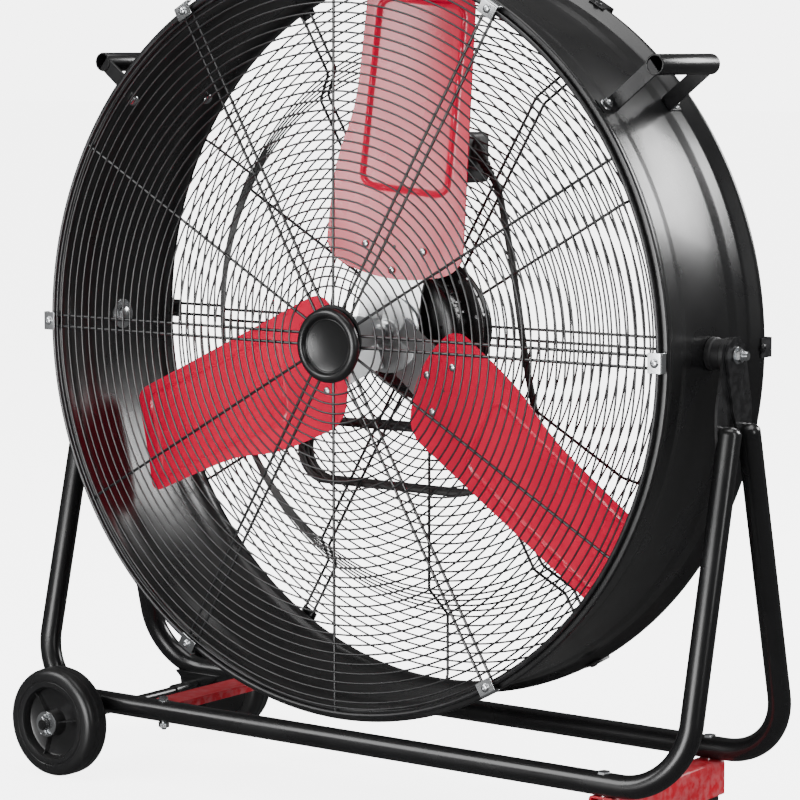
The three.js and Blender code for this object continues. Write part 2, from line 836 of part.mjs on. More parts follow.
// An end bell: the shaft hole, a boss, a sloping cover and the rim that meets the housing.
function motorBell(outerY, rimY, side, bossRadius) {
  const skin = 4 * side;
  return turnedRing(
    [
      [shaftRadius + 0.5, outerY],
      [bossRadius, outerY],
      [motorRadius - 10, outerY + skin],
      [motorRadius, outerY + skin * 2],
      [motorRadius, rimY],
      [motorRadius - 4, rimY],
      [motorRadius - 13, outerY + skin * 2],
      [shaftRadius + 0.5, outerY + skin * 2],
    ],
    20,
  );
}

function motorBolt(degrees) {
  const x = motorBoltCircle * Math.cos(radians(degrees));
  const z = motorBoltCircle * Math.sin(radians(degrees));
  const seat = guardFieldY + rimWire + gap;
  return join([
    rod([x, lugY - 9, z], [x, seat + 1, z], 2.4, 6),
        rod([x, seat, z], [x, seat + 5.5, z], 4.8, 6),
  ]);
}

const statorProfile = [
  [statorRadius, statorStart],
  [statorRadius, statorEnd],
  [coreRadius + 1.5, statorEnd],
  [coreRadius + 1.5, statorStart],
];

place(drum, "motor_housing", motorHousing(), blackPowder);
place(drum, "motor_front_bell", motorBell(motorFront, housingStart, 1, 20), blackPowder);
place(drum, "motor_rear_bell", motorBell(motorRear, housingEnd, -1, 16), blackPowder);
place(drum, "motor_stator", turnedRing(statorProfile, 20), copper);
motorBoltAngles.forEach((degrees, i) => {
  place(drum, `motor_bolt_${i + 1}`, motorBolt(degrees), zinc);
});

// ---------- rotor ----------

// Height along Y of the blade's middle surface, out and across the blade.
function bladeHeight(out, across) {
  const share = THREE.MathUtils.clamp((out - bladeRoot) / (bladeTip - bladeRoot), 0, 1);
  const pitch = radians(THREE.MathUtils.lerp(bladePitchRoot, bladePitchTip, share));
  const half = bladeHalf(out, across);
  const bulge = bladeCamber * share * (1 - (across / half) ** 2);
  return bladeY - across * Math.tan(pitch) + bulge;
}

// The trailing edge runs straight to the tip. The leading edge steps in halfway along.
function bladeHalf(out, side) {
  const past = Math.max(out, bladeShoulder);
  if (side > 0) {
    const narrowing = 1 / (1 + Math.exp((past - bladeStep) / bladeStepLength));
    return THREE.MathUtils.lerp(bladeLeadingTip, bladeHalfRoot - 1, narrowing);
  }
  const share = (past - bladeShoulder) / (bladeTip - bladeShoulder);
  return THREE.MathUtils.lerp(bladeHalfRoot, bladeTrailingTip, share);
}

// A curved sheet over a grid: surface gives [out, across] for steps along and over it.
function curvedSheet(surface, alongSteps, overSteps, front, back) {
  const positions = [];
  const index = [];
  const row = overSteps + 1;
  const layer = row * (alongSteps + 1);
  for (const offset of [front, back]) {
    for (let i = 0; i <= alongSteps; i++) {
      for (let j = 0; j <= overSteps; j++) {
        const [out, across] = surface(i / alongSteps, (2 * j) / overSteps - 1);
        positions.push(out, bladeHeight(out, across) + offset, across);
      }
    }
  }
  const quad = (a, b, c, d) => index.push(a, b, c, a, c, d);
  for (let i = 0; i < alongSteps; i++) {
    for (let j = 0; j < overSteps; j++) {
      const a = i * row + j;
      quad(a, a + row, a + row + 1, a + 1);
      quad(layer + a, layer + a + 1, layer + a + row + 1, layer + a + row);
    }
    const start = i * row;
    const end = start + overSteps;
    quad(start, layer + start, layer + start + row, start + row);
    quad(end, end + row, layer + end + row, layer + end);
  }
  const tip = alongSteps * row;
  for (let j = 0; j < overSteps; j++) {
    quad(j, j + 1, layer + j + 1, layer + j);
    quad(tip + j, layer + tip + j, layer + tip + j + 1, tip + j + 1);
  }
  const geometry = new THREE.BufferGeometry();
  geometry.setAttribute("position", new THREE.Float32BufferAttribute(positions, 3));
  geometry.setIndex(index);
  return solid(geometry);
}

// From the bowed root to the tip, which follows the drum.
function bladeSurface(along, over) {
  const start = bladeRoot + bladeRootBow * Math.abs(over) ** 3;
  const corner = bladeTipCorner * over ** 4;
  const end = Math.sqrt(bladeTip ** 2 - (over * bladeTrailingTip) ** 2) - corner;
  const out = THREE.MathUtils.lerp(start, end, along);
  return [out, over * bladeHalf(out, over)];
}

function armSurface(along, over) {
  const out = THREE.MathUtils.lerp(14, armReach, along);
  return [out, over * THREE.MathUtils.lerp(armHalfRoot, armHalfTip, along)];
}

function blade() {
  const half = bladeSheet / 2;
  const heads = rivets.flatMap(([out, across]) => {
    const y = bladeHeight(out, across);
    return [
      rod([out, y - half - 2.4, across], [out, y, across], rivetRadius, 8, rivetRadius),
      rod([out, y - half, across], [out, y + half + armGap + armSheet + 1.5, across], 2.5, 6),
    ];
  });
  return join([curvedSheet(bladeSurface, 5, 4, -half, half), ...heads]);
}

function spiderArm() {
  const front = bladeSheet / 2 + armGap;
  const shape = curvedSheet(armSurface, 2, 4, front, front + armSheet);
  const holes = rivets.map(([out, across]) => {
    const y = bladeHeight(out, across);
    return rod([out, y - 12, across], [out, y + 12, across], 3.2, 6);
  });
  return cut(shape, holes);
}

// The hub plate with its boss, and an arm behind each blade.
function hubSpider() {
  const plate = turned([[0, bladeY], [42, bladeY], [42, bladeY + 4], [0, bladeY + 4]], 20);
  const boss = rod([0, bladeY - 3, 0], [0, bladeY + 20, 0], 14, 16);
  const arms = bladeAngles.map((degrees) => spiderArm().rotate([0, -degrees, 0]));
  const bore = rod([0, bladeY - 20, 0], [0, bladeY + 40, 0], shaftRadius + gap, 16);
  return join([plate, boss, ...arms]).subtract(bore);
}

function rotorShaft() {
  const nut = bladeY - 3 - gap;
  return join([
    rod([0, nut - 11, 0], [0, motorRear - 6, 0], shaftRadius, 16),
    rod([0, nut - 7, 0], [0, nut, 0], 12, 6),
    rod([0, statorStart, 0], [0, statorEnd, 0], coreRadius, 20),
  ]);
}

place(rotor, "rotor_shaft", rotorShaft(), steel);
place(rotor, "hub_spider", hubSpider(), aluminium);
bladeAngles.forEach((degrees, i) => {
  place(rotor, `blade_${i + 1}`, blade(), redPaint).rotation.y = -radians(degrees);
});

// ---------- switch box and cord ----------

const knobSeat = boxRear + gap + boxWall;

function switchBox() {
  const { x, y, z } = boxSize;
  const middleY = boxFront + y / 2;
  const outside = block(x, y, z, boxMiddle.x, middleY, boxMiddle.z);
  const inner = [x - 2 * boxWall, z - 2 * boxWall];
  return outside.subtract(block(inner[0], y, inner[1], boxMiddle.x, middleY + boxWall, boxMiddle.z));
}

// The box's rear cover with the body of the rotary switch on its inside.
function switchCover() {
  const { x, z } = boxMiddle;
  const lid = block(boxSize.x, boxWall, boxSize.z, x, boxRear + gap + boxWall / 2, z);
  const body = block(30, 24, 30, x, boxRear - 11, z);
  const bore = rod([x, knobSeat - 12, z], [x, knobSeat + 9, z], 3 + gap, 12);
  return join([lid, body]).subtract(bore);
}

function switchKnob() {
  const { x, z } = boxMiddle;
  const start = knobSeat + gap;
  const end = start + knobHeight;
  const pointer = block(5, 4, 2 * knobRadius - 4, x, end + 1, z);
  return join([
    rod([x, start, z], [x, end, z], knobRadius, 20, knobRadius - 1.5),
    rod([x, start - 10, z], [x, start + 1, z], 3, 12),
    pointer,
  ]);
}

// The cord leaves the box to the right and downwards.
const reliefAngle = radians(-57);
const reliefTurn = [Math.cos(reliefAngle), Math.sin(reliefAngle)];
const alongRelief = (length) => {
  const { x, y, z } = cordExit;
  return [x + length * reliefTurn[0], y, z + length * reliefTurn[1]];
};

function strainRelief() {
  const wall = boxMiddle.x + boxSize.x / 2 + gap;
  const cone = rod(alongRelief(-6), alongRelief(reliefLength), 8, 12, cordRadius + 1);
  const flange = rod([wall, cordExit.y, cordExit.z - 5], [wall + 3, cordExit.y, cordExit.z - 5], 11, 12);
  const inside = block(60, 60, 60, wall - 30, cordExit.y, cordExit.z);
  return join([cone, flange]).subtract(inside);
}

const hankRightX = hankRight - hankHalfWidth;
const hankLeftX = hankLeft + hankHalfWidth;
const tieHold = tieWidth / 2 + 2;

// Stations of the lower run, right to left, as [x, half width]: drawn in where the tie is.
const hankRun = [
  [hankRightX, hankHalfWidth],
  [tieX + tieHold, hankHalfWidth - tiePull],
  [tieX - tieHold, hankHalfWidth - tiePull],
  [tieX - 60, hankHalfWidth],
  [(tieX - 60 + hankLeftX) / 2, hankHalfWidth],
  [hankLeftX, hankHalfWidth],
];
const quarterSteps = 3;

// One turn of the hank as [x, z, share of the climb], from its right end, going down first.
function hankTurn() {
  const round = (x, from, to, share) => {
    const steps = (quarterSteps * (from - to)) / 90;
    return Array.from({ length: steps }, (_, i) => {
      const angle = radians(from + ((to - from) * i) / steps);
      const z = hankMiddleZ + hankHalfWidth * Math.sin(angle);
      return [x + hankHalfWidth * Math.cos(angle), z, share];
    });
  };
  const last = hankRun.length - 1;
  const lower = hankRun.map(([x, half], i) => [x, hankMiddleZ - half, (0.5 * i) / last]);
  const upper = hankRun.map(([x, half], i) => [x, hankMiddleZ + half, 1 - (0.5 * i) / last]);
  return [
    ...round(hankRightX, 0, -90, 0),
    ...lower.slice(0, last),
    ...round(hankLeftX, -90, -270, 0.5),
    ...upper.reverse().slice(0, last),
    ...round(hankRightX, 90, 0, 1),
  ];
}

// The hank's stations: whole turns, then part of one, which ends on the upper run behind the
// others and carries the plug.
function hankStations() {
  const turn = hankTurn();
  const count = Math.floor(hankTurns * turn.length);
  const stations = [];
  for (let i = 0; i < count; i++) {
    const [x, z, share] = turn[i % turn.length];
    const y = hankStartY + hankClimb * (Math.floor(i / turn.length) + share);
    stations.push(corner(x, y, z));
  }
  const last = stations[count - 1];
  last.y += plugLift;
  const lead = new THREE.Vector3(0, 0, 2 * cordRadius);
  const tail = new THREE.Vector3(2 * cordRadius, 0, 0);
  return [stations[0].clone().add(lead), ...stations, last.clone().add(tail)];
}
const hankRoute = hankStations();

// Least distance between turns of a route, surface to surface, on points 3 mm apart.
function leastGap(route, radius) {
  const points = [];
  for (let i = 1; i < route.length; i++) {
    const steps = Math.ceil(route[i].distanceTo(route[i - 1]) / 3);
    for (let k = 0; k < steps; k++) {
      points.push(route[i - 1].clone().lerp(route[i], k / steps));
    }
  }
  let least = Infinity;
  for (let i = 0; i < points.length; i++) {
    for (let j = i + 30; j < points.length; j++) {
      least = Math.min(least, points[i].distanceTo(points[j]));
    }
  }
  return least - 2 * radius;
}

// The free stretch from the strain relief down to the hank, as [x, behind the hank, z].
const dropPoints = [
  [77, 13.85, 144],
  [83, 12.85, 122],
  [90, 11.85, 95],
  [97, 10.85, 65],
  [104, 8.85, 32],
  [111, 6.85, -2],
  [119, 4.85, -38],
  [128, 2.85, -72],
  [136, 0.85, -100],
  [142, -0.15, -124],
];

function cordDrop() {
  const start = new THREE.Vector3(...alongRelief(reliefLength + gap));
  const next = new THREE.Vector3(...alongRelief(reliefLength + 8));
  const end = hankRoute[0].clone();
  end.z += gap;
  const before = end.clone();
  before.z += 8;
  const points = dropPoints.map(([x, y, z]) => corner(x, hankStartY + y, z));
  const curve = new THREE.CatmullRomCurve3([next, ...points, before]);
  const length = curve.getLength();
  const between = curve.getSpacedPoints(Math.round(length / (5 * cordRadius)));
  const stations = [start, ...between, end];
  console.log("cord drop", length.toFixed(0), "mm");
  return bar(stations, cordRadius, 8);
}

const hankEnd = hankRoute[hankRoute.length - 1];

// The band round the hank and two wires of the guard.
function cordTie() {
  const band = tieWidth;
  const half = hankHalfWidth - tiePull + cordRadius + 0.9;
  const front = guardFieldY - ringWire - 1.2;
  const back = hankStartY + hankClimb * tieLayers + cordRadius + 0.8;
  const outline = (grow) => {
    const depth = (back - front) / 2 + grow;
    const radius = 4.5 + grow;
    const shape = new THREE.Shape();
    const height = half + grow;
    shape.absarc(depth - radius, height - radius, radius, 0, Math.PI / 2);
    shape.absarc(radius - depth, height - radius, radius, Math.PI / 2, Math.PI);
    shape.absarc(radius - depth, radius - height, radius, Math.PI, 1.5 * Math.PI);
    shape.absarc(depth - radius, radius - height, radius, 1.5 * Math.PI, 2 * Math.PI);
    return shape;
  };
  const options = { depth: band, bevelEnabled: false, curveSegments: 2 };
  const make = (shape, extra) => {
    const geometry = new THREE.ExtrudeGeometry(shape, { ...options, depth: band + extra });
    geometry.translate(0, 0, -(band + extra) / 2).rotateX(Math.PI / 2).rotateZ(Math.PI / 2);
    return solid(geometry.translate(tieX, (front + back) / 2, hankMiddleZ));
  };
  return make(outline(tieSheet), 0).subtract(make(outline(0), 4));
}

function plug() {
  const start = [hankEnd.x + gap, hankEnd.y, hankEnd.z];
  const at = (dx, dy = 0, dz = 0) => [start[0] + dx, start[1] + dy, start[2] + dz];
  const blades = [-1, 1].map((side) => {
    const [x, y, z] = at(plugLength + 8, side * 6.35, 4);
    return block(18, 1.5, 6.3, x, y, z);
  });
  return join([
    rod(at(0), at(20), cordRadius + 1, 12, 8),
    rod(at(18), at(plugLength), 11, 12, 13),
    rod(at(plugLength - 1, 0, -5), at(plugLength + 17, 0, -5), 2.4, 8),
    ...blades,
  ]);
}

place(drum, "switch_box", switchBox(), blackPlastic);
place(drum, "switch_cover", switchCover(), blackPlastic);
place(drum, "switch_knob", switchKnob(), blackPlastic);
place(drum, "strain_relief", strainRelief(), blackRubber);
place(drum, "cord_drop", cordDrop(), blackRubber);
place(drum, "cord_hank", bar(hankRoute, cordRadius, 6), blackRubber);
place(drum, "cord_tie", cordTie(), blackPlastic);
place(drum, "plug", plug(), blackRubber);

const hankSpans = hankRoute.slice(1).map((point, i) => point.distanceTo(hankRoute[i]));
const hankLength = hankSpans.reduce((sum, span) => sum + span);
console.log("cord hank", hankLength.toFixed(0), "mm, least gap to itself");
console.log(leastGap(hankRoute, cordRadius).toFixed(2), "mm");

export default fan;
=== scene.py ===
# %% [markdown]
# # A wheeled drum fan
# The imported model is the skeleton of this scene: it says where each piece is and what it
# turns with. Each cell below makes one piece or one finish, in millimetres, and hangs it on
# the body that carries it. The fan blows towards -Y, and +X is to the right seen from there.

# %% Load the frame
import math
import bmesh
import bpy
from mathutils import Matrix, Vector


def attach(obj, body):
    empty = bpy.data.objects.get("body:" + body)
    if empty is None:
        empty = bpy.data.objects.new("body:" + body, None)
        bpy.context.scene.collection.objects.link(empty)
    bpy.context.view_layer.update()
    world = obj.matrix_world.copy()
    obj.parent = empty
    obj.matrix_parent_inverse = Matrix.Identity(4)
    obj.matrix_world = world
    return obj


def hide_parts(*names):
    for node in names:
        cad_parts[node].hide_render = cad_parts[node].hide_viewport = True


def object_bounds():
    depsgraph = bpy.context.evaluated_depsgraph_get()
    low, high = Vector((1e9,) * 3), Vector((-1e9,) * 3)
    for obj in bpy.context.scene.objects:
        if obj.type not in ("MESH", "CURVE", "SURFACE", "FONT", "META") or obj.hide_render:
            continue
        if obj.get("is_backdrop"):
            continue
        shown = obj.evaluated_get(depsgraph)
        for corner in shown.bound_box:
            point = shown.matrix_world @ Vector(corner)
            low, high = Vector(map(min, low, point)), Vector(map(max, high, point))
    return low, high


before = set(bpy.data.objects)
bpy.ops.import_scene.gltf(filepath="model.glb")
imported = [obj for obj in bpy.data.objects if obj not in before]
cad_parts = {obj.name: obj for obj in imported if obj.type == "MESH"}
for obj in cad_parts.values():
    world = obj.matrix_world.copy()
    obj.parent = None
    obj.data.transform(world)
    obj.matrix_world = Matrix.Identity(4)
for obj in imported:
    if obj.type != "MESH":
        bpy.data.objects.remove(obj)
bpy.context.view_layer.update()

# %% [markdown]
# ## Camera
# The photograph was taken from well back with a long lens, a little above the fan's middle
# and from its right. A shifted lens keeps the same perspective while the fan sits where it
# does in the picture.

# %% Camera
MM = 0.001
AXIS_HEIGHT = 500.0
PIVOT = Vector((0, 0, AXIS_HEIGHT))
DRUM = Vector((0, -8, AXIS_HEIGHT))
AZIMUTH, ELEVATION, DISTANCE = math.radians(36.445), math.radians(5.29), 3.3169

back = Vector((
    math.sin(AZIMUTH) * math.cos(ELEVATION),
    -math.cos(AZIMUTH) * math.cos(ELEVATION),
    math.sin(ELEVATION),
))
camera = bpy.data.objects.new("camera", bpy.data.cameras.new("camera"))
bpy.context.scene.collection.objects.link(camera)
camera.location = DRUM * MM + back * DISTANCE
camera.rotation_mode = "QUATERNION"
camera.rotation_quaternion = (-back).to_track_quat("-Z", "Y")
camera.data.lens = 140.8
camera.data.sensor_width = 36.0
camera.data.shift_x = 0.0107
camera.data.shift_y = -0.0839
camera.data.clip_end = 100
bpy.context.scene.camera = camera
print("camera at", [round(v, 3) for v in camera.location])

# %% [markdown]
# ## Building in millimetres
# Most pieces of a fan are turned, bent from round bar or cut from sheet. Three small makers
# cover these: one spins a profile about an axis, one sweeps a circle along a path and one
# gives an outline a thickness. Each returns points and faces, which are easy to join.

# %% Shape makers
def joined(*shapes):
    points, faces = [], []
    for more_points, more_faces in shapes:
        start = len(points)
        points += [Vector(p) for p in more_points]
        faces += [tuple(i + start for i in face) for face in more_faces]
    return points, faces


def moved(shape, matrix):
    return [matrix @ Vector(p) for p in shape[0]], shape[1]


def spin(profile, centre=(0, 0, 0), axis=(0, 1, 0), segments=48):
    """A closed profile of (radius, distance along the axis), turned about it."""
    turn = Vector((0, 0, 1)).rotation_difference(Vector(axis)).to_matrix()
    count = len(profile)
    points = []
    for i in range(segments):
        angle = 2 * math.pi * i / segments
        for radius, along in profile:
            local = Vector((radius * math.cos(angle), radius * math.sin(angle), along))
            points.append(Vector(centre) + turn @ local)
    faces = []
    for i in range(segments):
        a, b = i * count, (i + 1) % segments * count
        for k in range(count):
            n = (k + 1) % count
            faces.append((a + k, b + k, b + n, a + n))
    return points, faces


def tube(path, radius, sides=12, closed=False):
    """A round bar along a path; radius is one number, or one for each point."""
    path = [Vector(p) for p in path]
    count = len(path)
    radii = radius if isinstance(radius, list) else [radius] * count
    normal, points, faces = None, [], []
    for i, here in enumerate(path):
        before = path[i - 1] if closed or i else here
        after = path[(i + 1) % count] if closed or i < count - 1 else here
        along = (after - before).normalized()
        normal = along.orthogonal() if normal is None else normal
        normal = (normal - along * normal.dot(along)).normalized()
        side = along.cross(normal)
        for k in range(sides):
            angle = 2 * math.pi * k / sides
            points.append(here + radii[i] * (normal * math.cos(angle) + side * math.sin(angle)))
    for i in range(count if closed else count - 1):
        a, b = i * sides, (i + 1) % count * sides
        for k in range(sides):
            n = (k + 1) % sides
            faces.append((a + k, a + n, b + n, b + k))
    if not closed:
        faces.append(tuple(range(sides))[::-1])
        faces.append(tuple(range((count - 1) * sides, count * sides)))
    return points, faces


def sheet_of(outline, thickness, matrix=Matrix.Identity(4)):
    """An outline in the XY plane, thickened along Z and then placed."""
    count = len(outline)
    points = [matrix @ Vector((x, y, z)) for z in (0, thickness) for x, y in outline]
    faces = [tuple(range(count))[::-1], tuple(range(count, 2 * count))]
    for k in range(count):
        n = (k + 1) % count
        faces.append((k, n, count + n, count + k))
    return points, faces


def block(centre, size):
    (x, y, z), (a, b, c) = centre, [s / 2 for s in size]
    outline = [(x - a, y - b), (x + a, y - b), (x + a, y + b), (x - a, y + b)]
    return sheet_of(outline, 2 * c, Matrix.Translation((0, 0, z - c)))


def arc(centre, radius, start, end, steps):
    """Points of an arc in a plane, angles in degrees."""
    turns = [math.radians(start + (end - start) * i / steps) for i in range(steps + 1)]
    return [(centre[0] + radius * math.cos(a), centre[1] + radius * math.sin(a)) for a in turns]


def rounded_outline(width, height, radius, steps=5):
    x, y = width / 2 - radius, height / 2 - radius
    corners = [((x, y), 0), ((-x, y), 90), ((-x, -y), 180), ((x, -y), 270)]
    return [p for centre, start in corners for p in arc(centre, radius, start, start + 90, steps)]


def two_skins(front, back, rows, columns):
    """Two grids of points, row by row, closed round their edge into one thin sheet."""
    width, layer, faces = columns + 1, len(front), []
    for i in range(rows):
        for k in range(columns):
            a = i * width + k
            faces.append((a, a + 1, a + width + 1, a + width))
            faces.append((layer + a, layer + a + width, layer + a + width + 1, layer + a + 1))
    edge = list(range(width)) + [i * width + columns for i in range(1, rows + 1)]
    edge += [rows * width + k for k in range(columns - 1, -1, -1)]
    edge += [i * width for i in range(rows - 1, 0, -1)]
    for a, b in zip(edge, edge[1:] + edge[:1]):
        faces.append((a, b, layer + b, layer + a))
    return front + back, faces


def about_y(degrees):
    """Turns +X towards +Z by this angle, as the places round the drum are counted."""
    return Matrix.Rotation(-math.radians(degrees), 4, "Y")


print("shape makers ready")

# %% [markdown]
# ## Effects that several finishes share
# Paint, plastic and plating all vary over a surface: fine grain, uneven gloss, bare edges and
# settled dust. Each effect is one node group that gives out a value or a mask, and every
# material sets its own amounts.

# %% Shared effects
def new_group(name, inputs, outputs):
    group = bpy.data.node_groups.new(name, "ShaderNodeTree")
    for label, value in inputs:
        socket = group.interface.new_socket(label, in_out="INPUT", socket_type="NodeSocketFloat")
        socket.default_value = value
    for label in outputs:
        group.interface.new_socket(label, in_out="OUTPUT", socket_type="NodeSocketFloat")
    return group, group.nodes.new("NodeGroupInput"), group.nodes.new("NodeGroupOutput")


def add_node(tree, kind, **settings):
    node = tree.nodes.new(kind)
    for key, value in settings.items():
        if key.startswith("in_"):
            node.inputs[int(key[3:])].default_value = value
        else:
            setattr(node, key, value)
    return node


def remapped(tree, value, low, high, to_low, to_high):
    node = add_node(tree, "ShaderNodeMapRange", in_1=low, in_2=high, in_3=to_low, in_4=to_high)
    tree.links.new(value, node.inputs[0])
    return node.outputs[0]


def times(tree, a, b):
    node = add_node(tree, "ShaderNodeMath", operation="MULTIPLY")
    tree.links.new(a, node.inputs[0])
    tree.links.new(b, node.inputs[1])
    return node.outputs[0]


def noise_in(tree, scale=None, detail=4.0, stretch=None):
    """Noise in the object's own space; scale may be a socket or a number."""
    place = add_node(tree, "ShaderNodeTexCoord").outputs["Object"]
    if stretch:
        mapping = add_node(tree, "ShaderNodeMapping")
        mapping.inputs["Scale"].default_value = stretch
        tree.links.new(place, mapping.inputs[0])
        place = mapping.outputs[0]
    node = add_node(tree, "ShaderNodeTexNoise")
    node.inputs["Detail"].default_value = detail
    tree.links.new(place, node.inputs["Vector"])
    if isinstance(scale, (int, float)):
        node.inputs["Scale"].default_value = scale
    else:
        tree.links.new(scale, node.inputs["Scale"])
    return node.outputs[0]


grain, group_in, group_out = new_group("surface_grain", [("Scale", 900.0)], ["Height"])
grain.links.new(noise_in(grain, group_in.outputs[0], 3.0), group_out.inputs[0])

gloss, group_in, group_out = new_group(
    "uneven_gloss", [("Scale", 14.0), ("Low", 0.25), ("High", 0.4)], ["Roughness"])
cloud = remapped(gloss, noise_in(gloss, group_in.outputs[0], 6.0), 0.3, 0.7, 0.0, 1.0)
level = add_node(gloss, "ShaderNodeMapRange")
gloss.links.new(cloud, level.inputs[0])
gloss.links.new(group_in.outputs[1], level.inputs[3])
gloss.links.new(group_in.outputs[2], level.inputs[4])
gloss.links.new(level.outputs[0], group_out.inputs[0])

wear, group_in, group_out = new_group("edge_wear", [("Amount", 0.5)], ["Mask"])
ridge = remapped(wear, add_node(wear, "ShaderNodeNewGeometry").outputs["Pointiness"],
                 0.53, 0.62, 0.0, 1.0)
patches = remapped(wear, noise_in(wear, 120.0, 5.0), 0.42, 0.62, 0.0, 1.0)
wear.links.new(times(wear, times(wear, ridge, patches), group_in.outputs[0]), group_out.inputs[0])

dust, group_in, group_out = new_group("settled_dust", [("Amount", 0.2)], ["Mask"])
facing = add_node(dust, "ShaderNodeSeparateXYZ")
dust.links.new(add_node(dust, "ShaderNodeNewGeometry").outputs["Normal"], facing.inputs[0])
upwards = remapped(dust, facing.outputs[2], 0.35, 1.0, 0.0, 1.0)
drift = remapped(dust, noise_in(dust, 35.0, 8.0), 0.35, 0.75, 0.2, 1.0)
dust.links.new(times(dust, times(dust, upwards, drift), group_in.outputs[0]), group_out.inputs[0])

brush, group_in, group_out = new_group("fine_scratches", [("Scale", 60.0)], ["Height"])
brush.links.new(noise_in(brush, group_in.outputs[0], 8.0, (1.0, 1.0, 22.0)), group_out.inputs[0])
print("effects:", [g.name for g in bpy.data.node_groups])

# %% [markdown]
# ## Finishes
# The drum, guards and stand are black powder coat, smooth enough to show long highlights. The
# blades and braces are painted red, the hardware is zinc plate, the hub plate is pressed
# aluminium, and wheels, box and cord are moulded. One recipe makes them all from their own
# colour, gloss, grain, wear and dust.

# %% One recipe for every finish
def finish(name, color, under, low, high, metallic=0.0, coat=0.0, grain_scale=900.0,
           grain_height=0.05, wear_amount=0.4, dust_amount=0.02, brushed=False, specular=0.5):
    material = bpy.data.materials.new(name)
    material.use_nodes = True
    tree = material.node_tree
    shader = tree.nodes["Principled BSDF"]
    shader.inputs["Metallic"].default_value = metallic
    shader.inputs["Coat Weight"].default_value = coat
    shader.inputs["Coat Roughness"].default_value = 0.12
    shader.inputs["Specular IOR Level"].default_value = specular

    def effect(group, *values):
        node = add_node(tree, "ShaderNodeGroup", node_tree=group)
        for socket, value in zip(node.inputs, values):
            socket.default_value = value
        return node.outputs[0]

    def blended(base, top, mask):
        node = add_node(tree, "ShaderNodeMix", data_type="RGBA")
        for socket, value in ((node.inputs[6], base), (node.inputs[7], top)):
            if isinstance(value, tuple):
                socket.default_value = (*value, 1)
            else:
                tree.links.new(value, socket)
        tree.links.new(mask, node.inputs[0])
        return node.outputs[2]

    tone = remapped(tree, noise_in(tree, 9.0, 3.0), 0.3, 0.7, 0.0, 1.0)
    painted = blended(tuple(c * 0.88 for c in color), tuple(min(1, c * 1.1) for c in color), tone)
    worn = blended(painted, under, effect(wear, wear_amount))
    dusty = blended(worn, (0.42, 0.4, 0.37), effect(dust, dust_amount))
    tree.links.new(dusty, shader.inputs["Base Color"])
    tree.links.new(effect(gloss, 14.0, low, high), shader.inputs["Roughness"])
    bump = add_node(tree, "ShaderNodeBump", in_0=grain_height, in_1=0.001)
    height = effect(brush, 60.0) if brushed else effect(grain, grain_scale)
    tree.links.new(height, bump.inputs["Height"])
    tree.links.new(bump.outputs[0], shader.inputs["Normal"])
    return material


BLACK, GREY, STEEL = (0.007, 0.007, 0.0075), (0.05, 0.05, 0.052), (0.45, 0.45, 0.46)
black_gloss = finish("black gloss coat", BLACK, GREY, 0.24, 0.34, coat=0.15, grain_scale=500.0)
wire_coat = finish("wire coat", (0.008, 0.008, 0.009), GREY, 0.3, 0.4, grain_height=0.02)
black_powder = finish("black powder coat", BLACK, GREY, 0.2, 0.3, coat=0.2, grain_scale=700.0)
red_enamel = finish("red blade enamel", (0.74, 0.0, 0.045), (0.5, 0.01, 0.03), 0.24, 0.34,
                    coat=0.1, grain_height=0.02, wear_amount=0.2, specular=0.25)
red_brace = finish("red brace paint", (0.42, 0.0, 0.012), STEEL, 0.34, 0.46, coat=0.05,
                   wear_amount=0.4, dust_amount=0.04, specular=0.3)
zinc = finish("bright zinc plate", (0.78, 0.8, 0.82), (0.55, 0.53, 0.48), 0.16, 0.32,
              metallic=1.0, grain_height=0.02, dust_amount=0.0)
aluminium = finish("pressed aluminium", (0.72, 0.73, 0.74), (0.85, 0.85, 0.86), 0.28, 0.42,
                   metallic=1.0, brushed=True, grain_height=0.08, dust_amount=0.02)
bare_steel = finish("turned steel", (0.5, 0.51, 0.52), (0.6, 0.6, 0.6), 0.25, 0.4, metallic=1.0,
                    brushed=True, grain_height=0.06)
copper = finish("varnished copper", (0.55, 0.2, 0.07), (0.7, 0.4, 0.2), 0.3, 0.5, metallic=1.0)
plastic = finish("moulded black plastic", (0.016, 0.016, 0.017), GREY, 0.42, 0.55,
                 grain_scale=1600.0, grain_height=0.12, dust_amount=0.04)
wheel_plastic = finish("polished wheel plastic", (0.01, 0.01, 0.0105), GREY, 0.26, 0.38,
                       grain_scale=1200.0, grain_height=0.05, dust_amount=0.03)
rubber = finish("black rubber", (0.014, 0.014, 0.014), GREY, 0.6, 0.75, grain_scale=1200.0,
                grain_height=0.15, dust_amount=0.05)
print(len(bpy.data.materials), "materials")

# %% [markdown]
# ## Turning a shape into a piece
# A piece needs clean normals, a smooth look with crisp edges and often a small bevel, because
# no real edge is perfectly sharp. It also needs to know which body it moves with, which solids
# it stands for and which material it takes.

# %% Piece maker
def piece(name, shape, material, body, stands_for=(), bevel=0.0, angle=38):
    mesh = bpy.data.meshes.new(name)
    mesh.from_pydata([p * MM for p in map(Vector, shape[0])], [], shape[1])
    clean = bmesh.new()
    clean.from_mesh(mesh)
    bmesh.ops.remove_doubles(clean, verts=clean.verts, dist=1e-5)
    bmesh.ops.recalc_face_normals(clean, faces=clean.faces)
    clean.to_mesh(mesh)
    clean.free()
    mesh.shade_smooth()
    mesh.set_sharp_from_angle(angle=math.radians(angle))
    mesh.materials.append(material)
    obj = bpy.data.objects.new(name, mesh)
    bpy.context.scene.collection.objects.link(obj)
    if bevel:
        add_bevel(obj, bevel)
    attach(obj, body)
    if stands_for:
        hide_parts(*stands_for)
    return obj


def add_bevel(obj, width):
    modifier = obj.modifiers.new("rounded edges", "BEVEL")
    modifier.width = width * MM
    modifier.segments = 2
    modifier.limit_method = "ANGLE"
    modifier.angle_limit = math.radians(38)


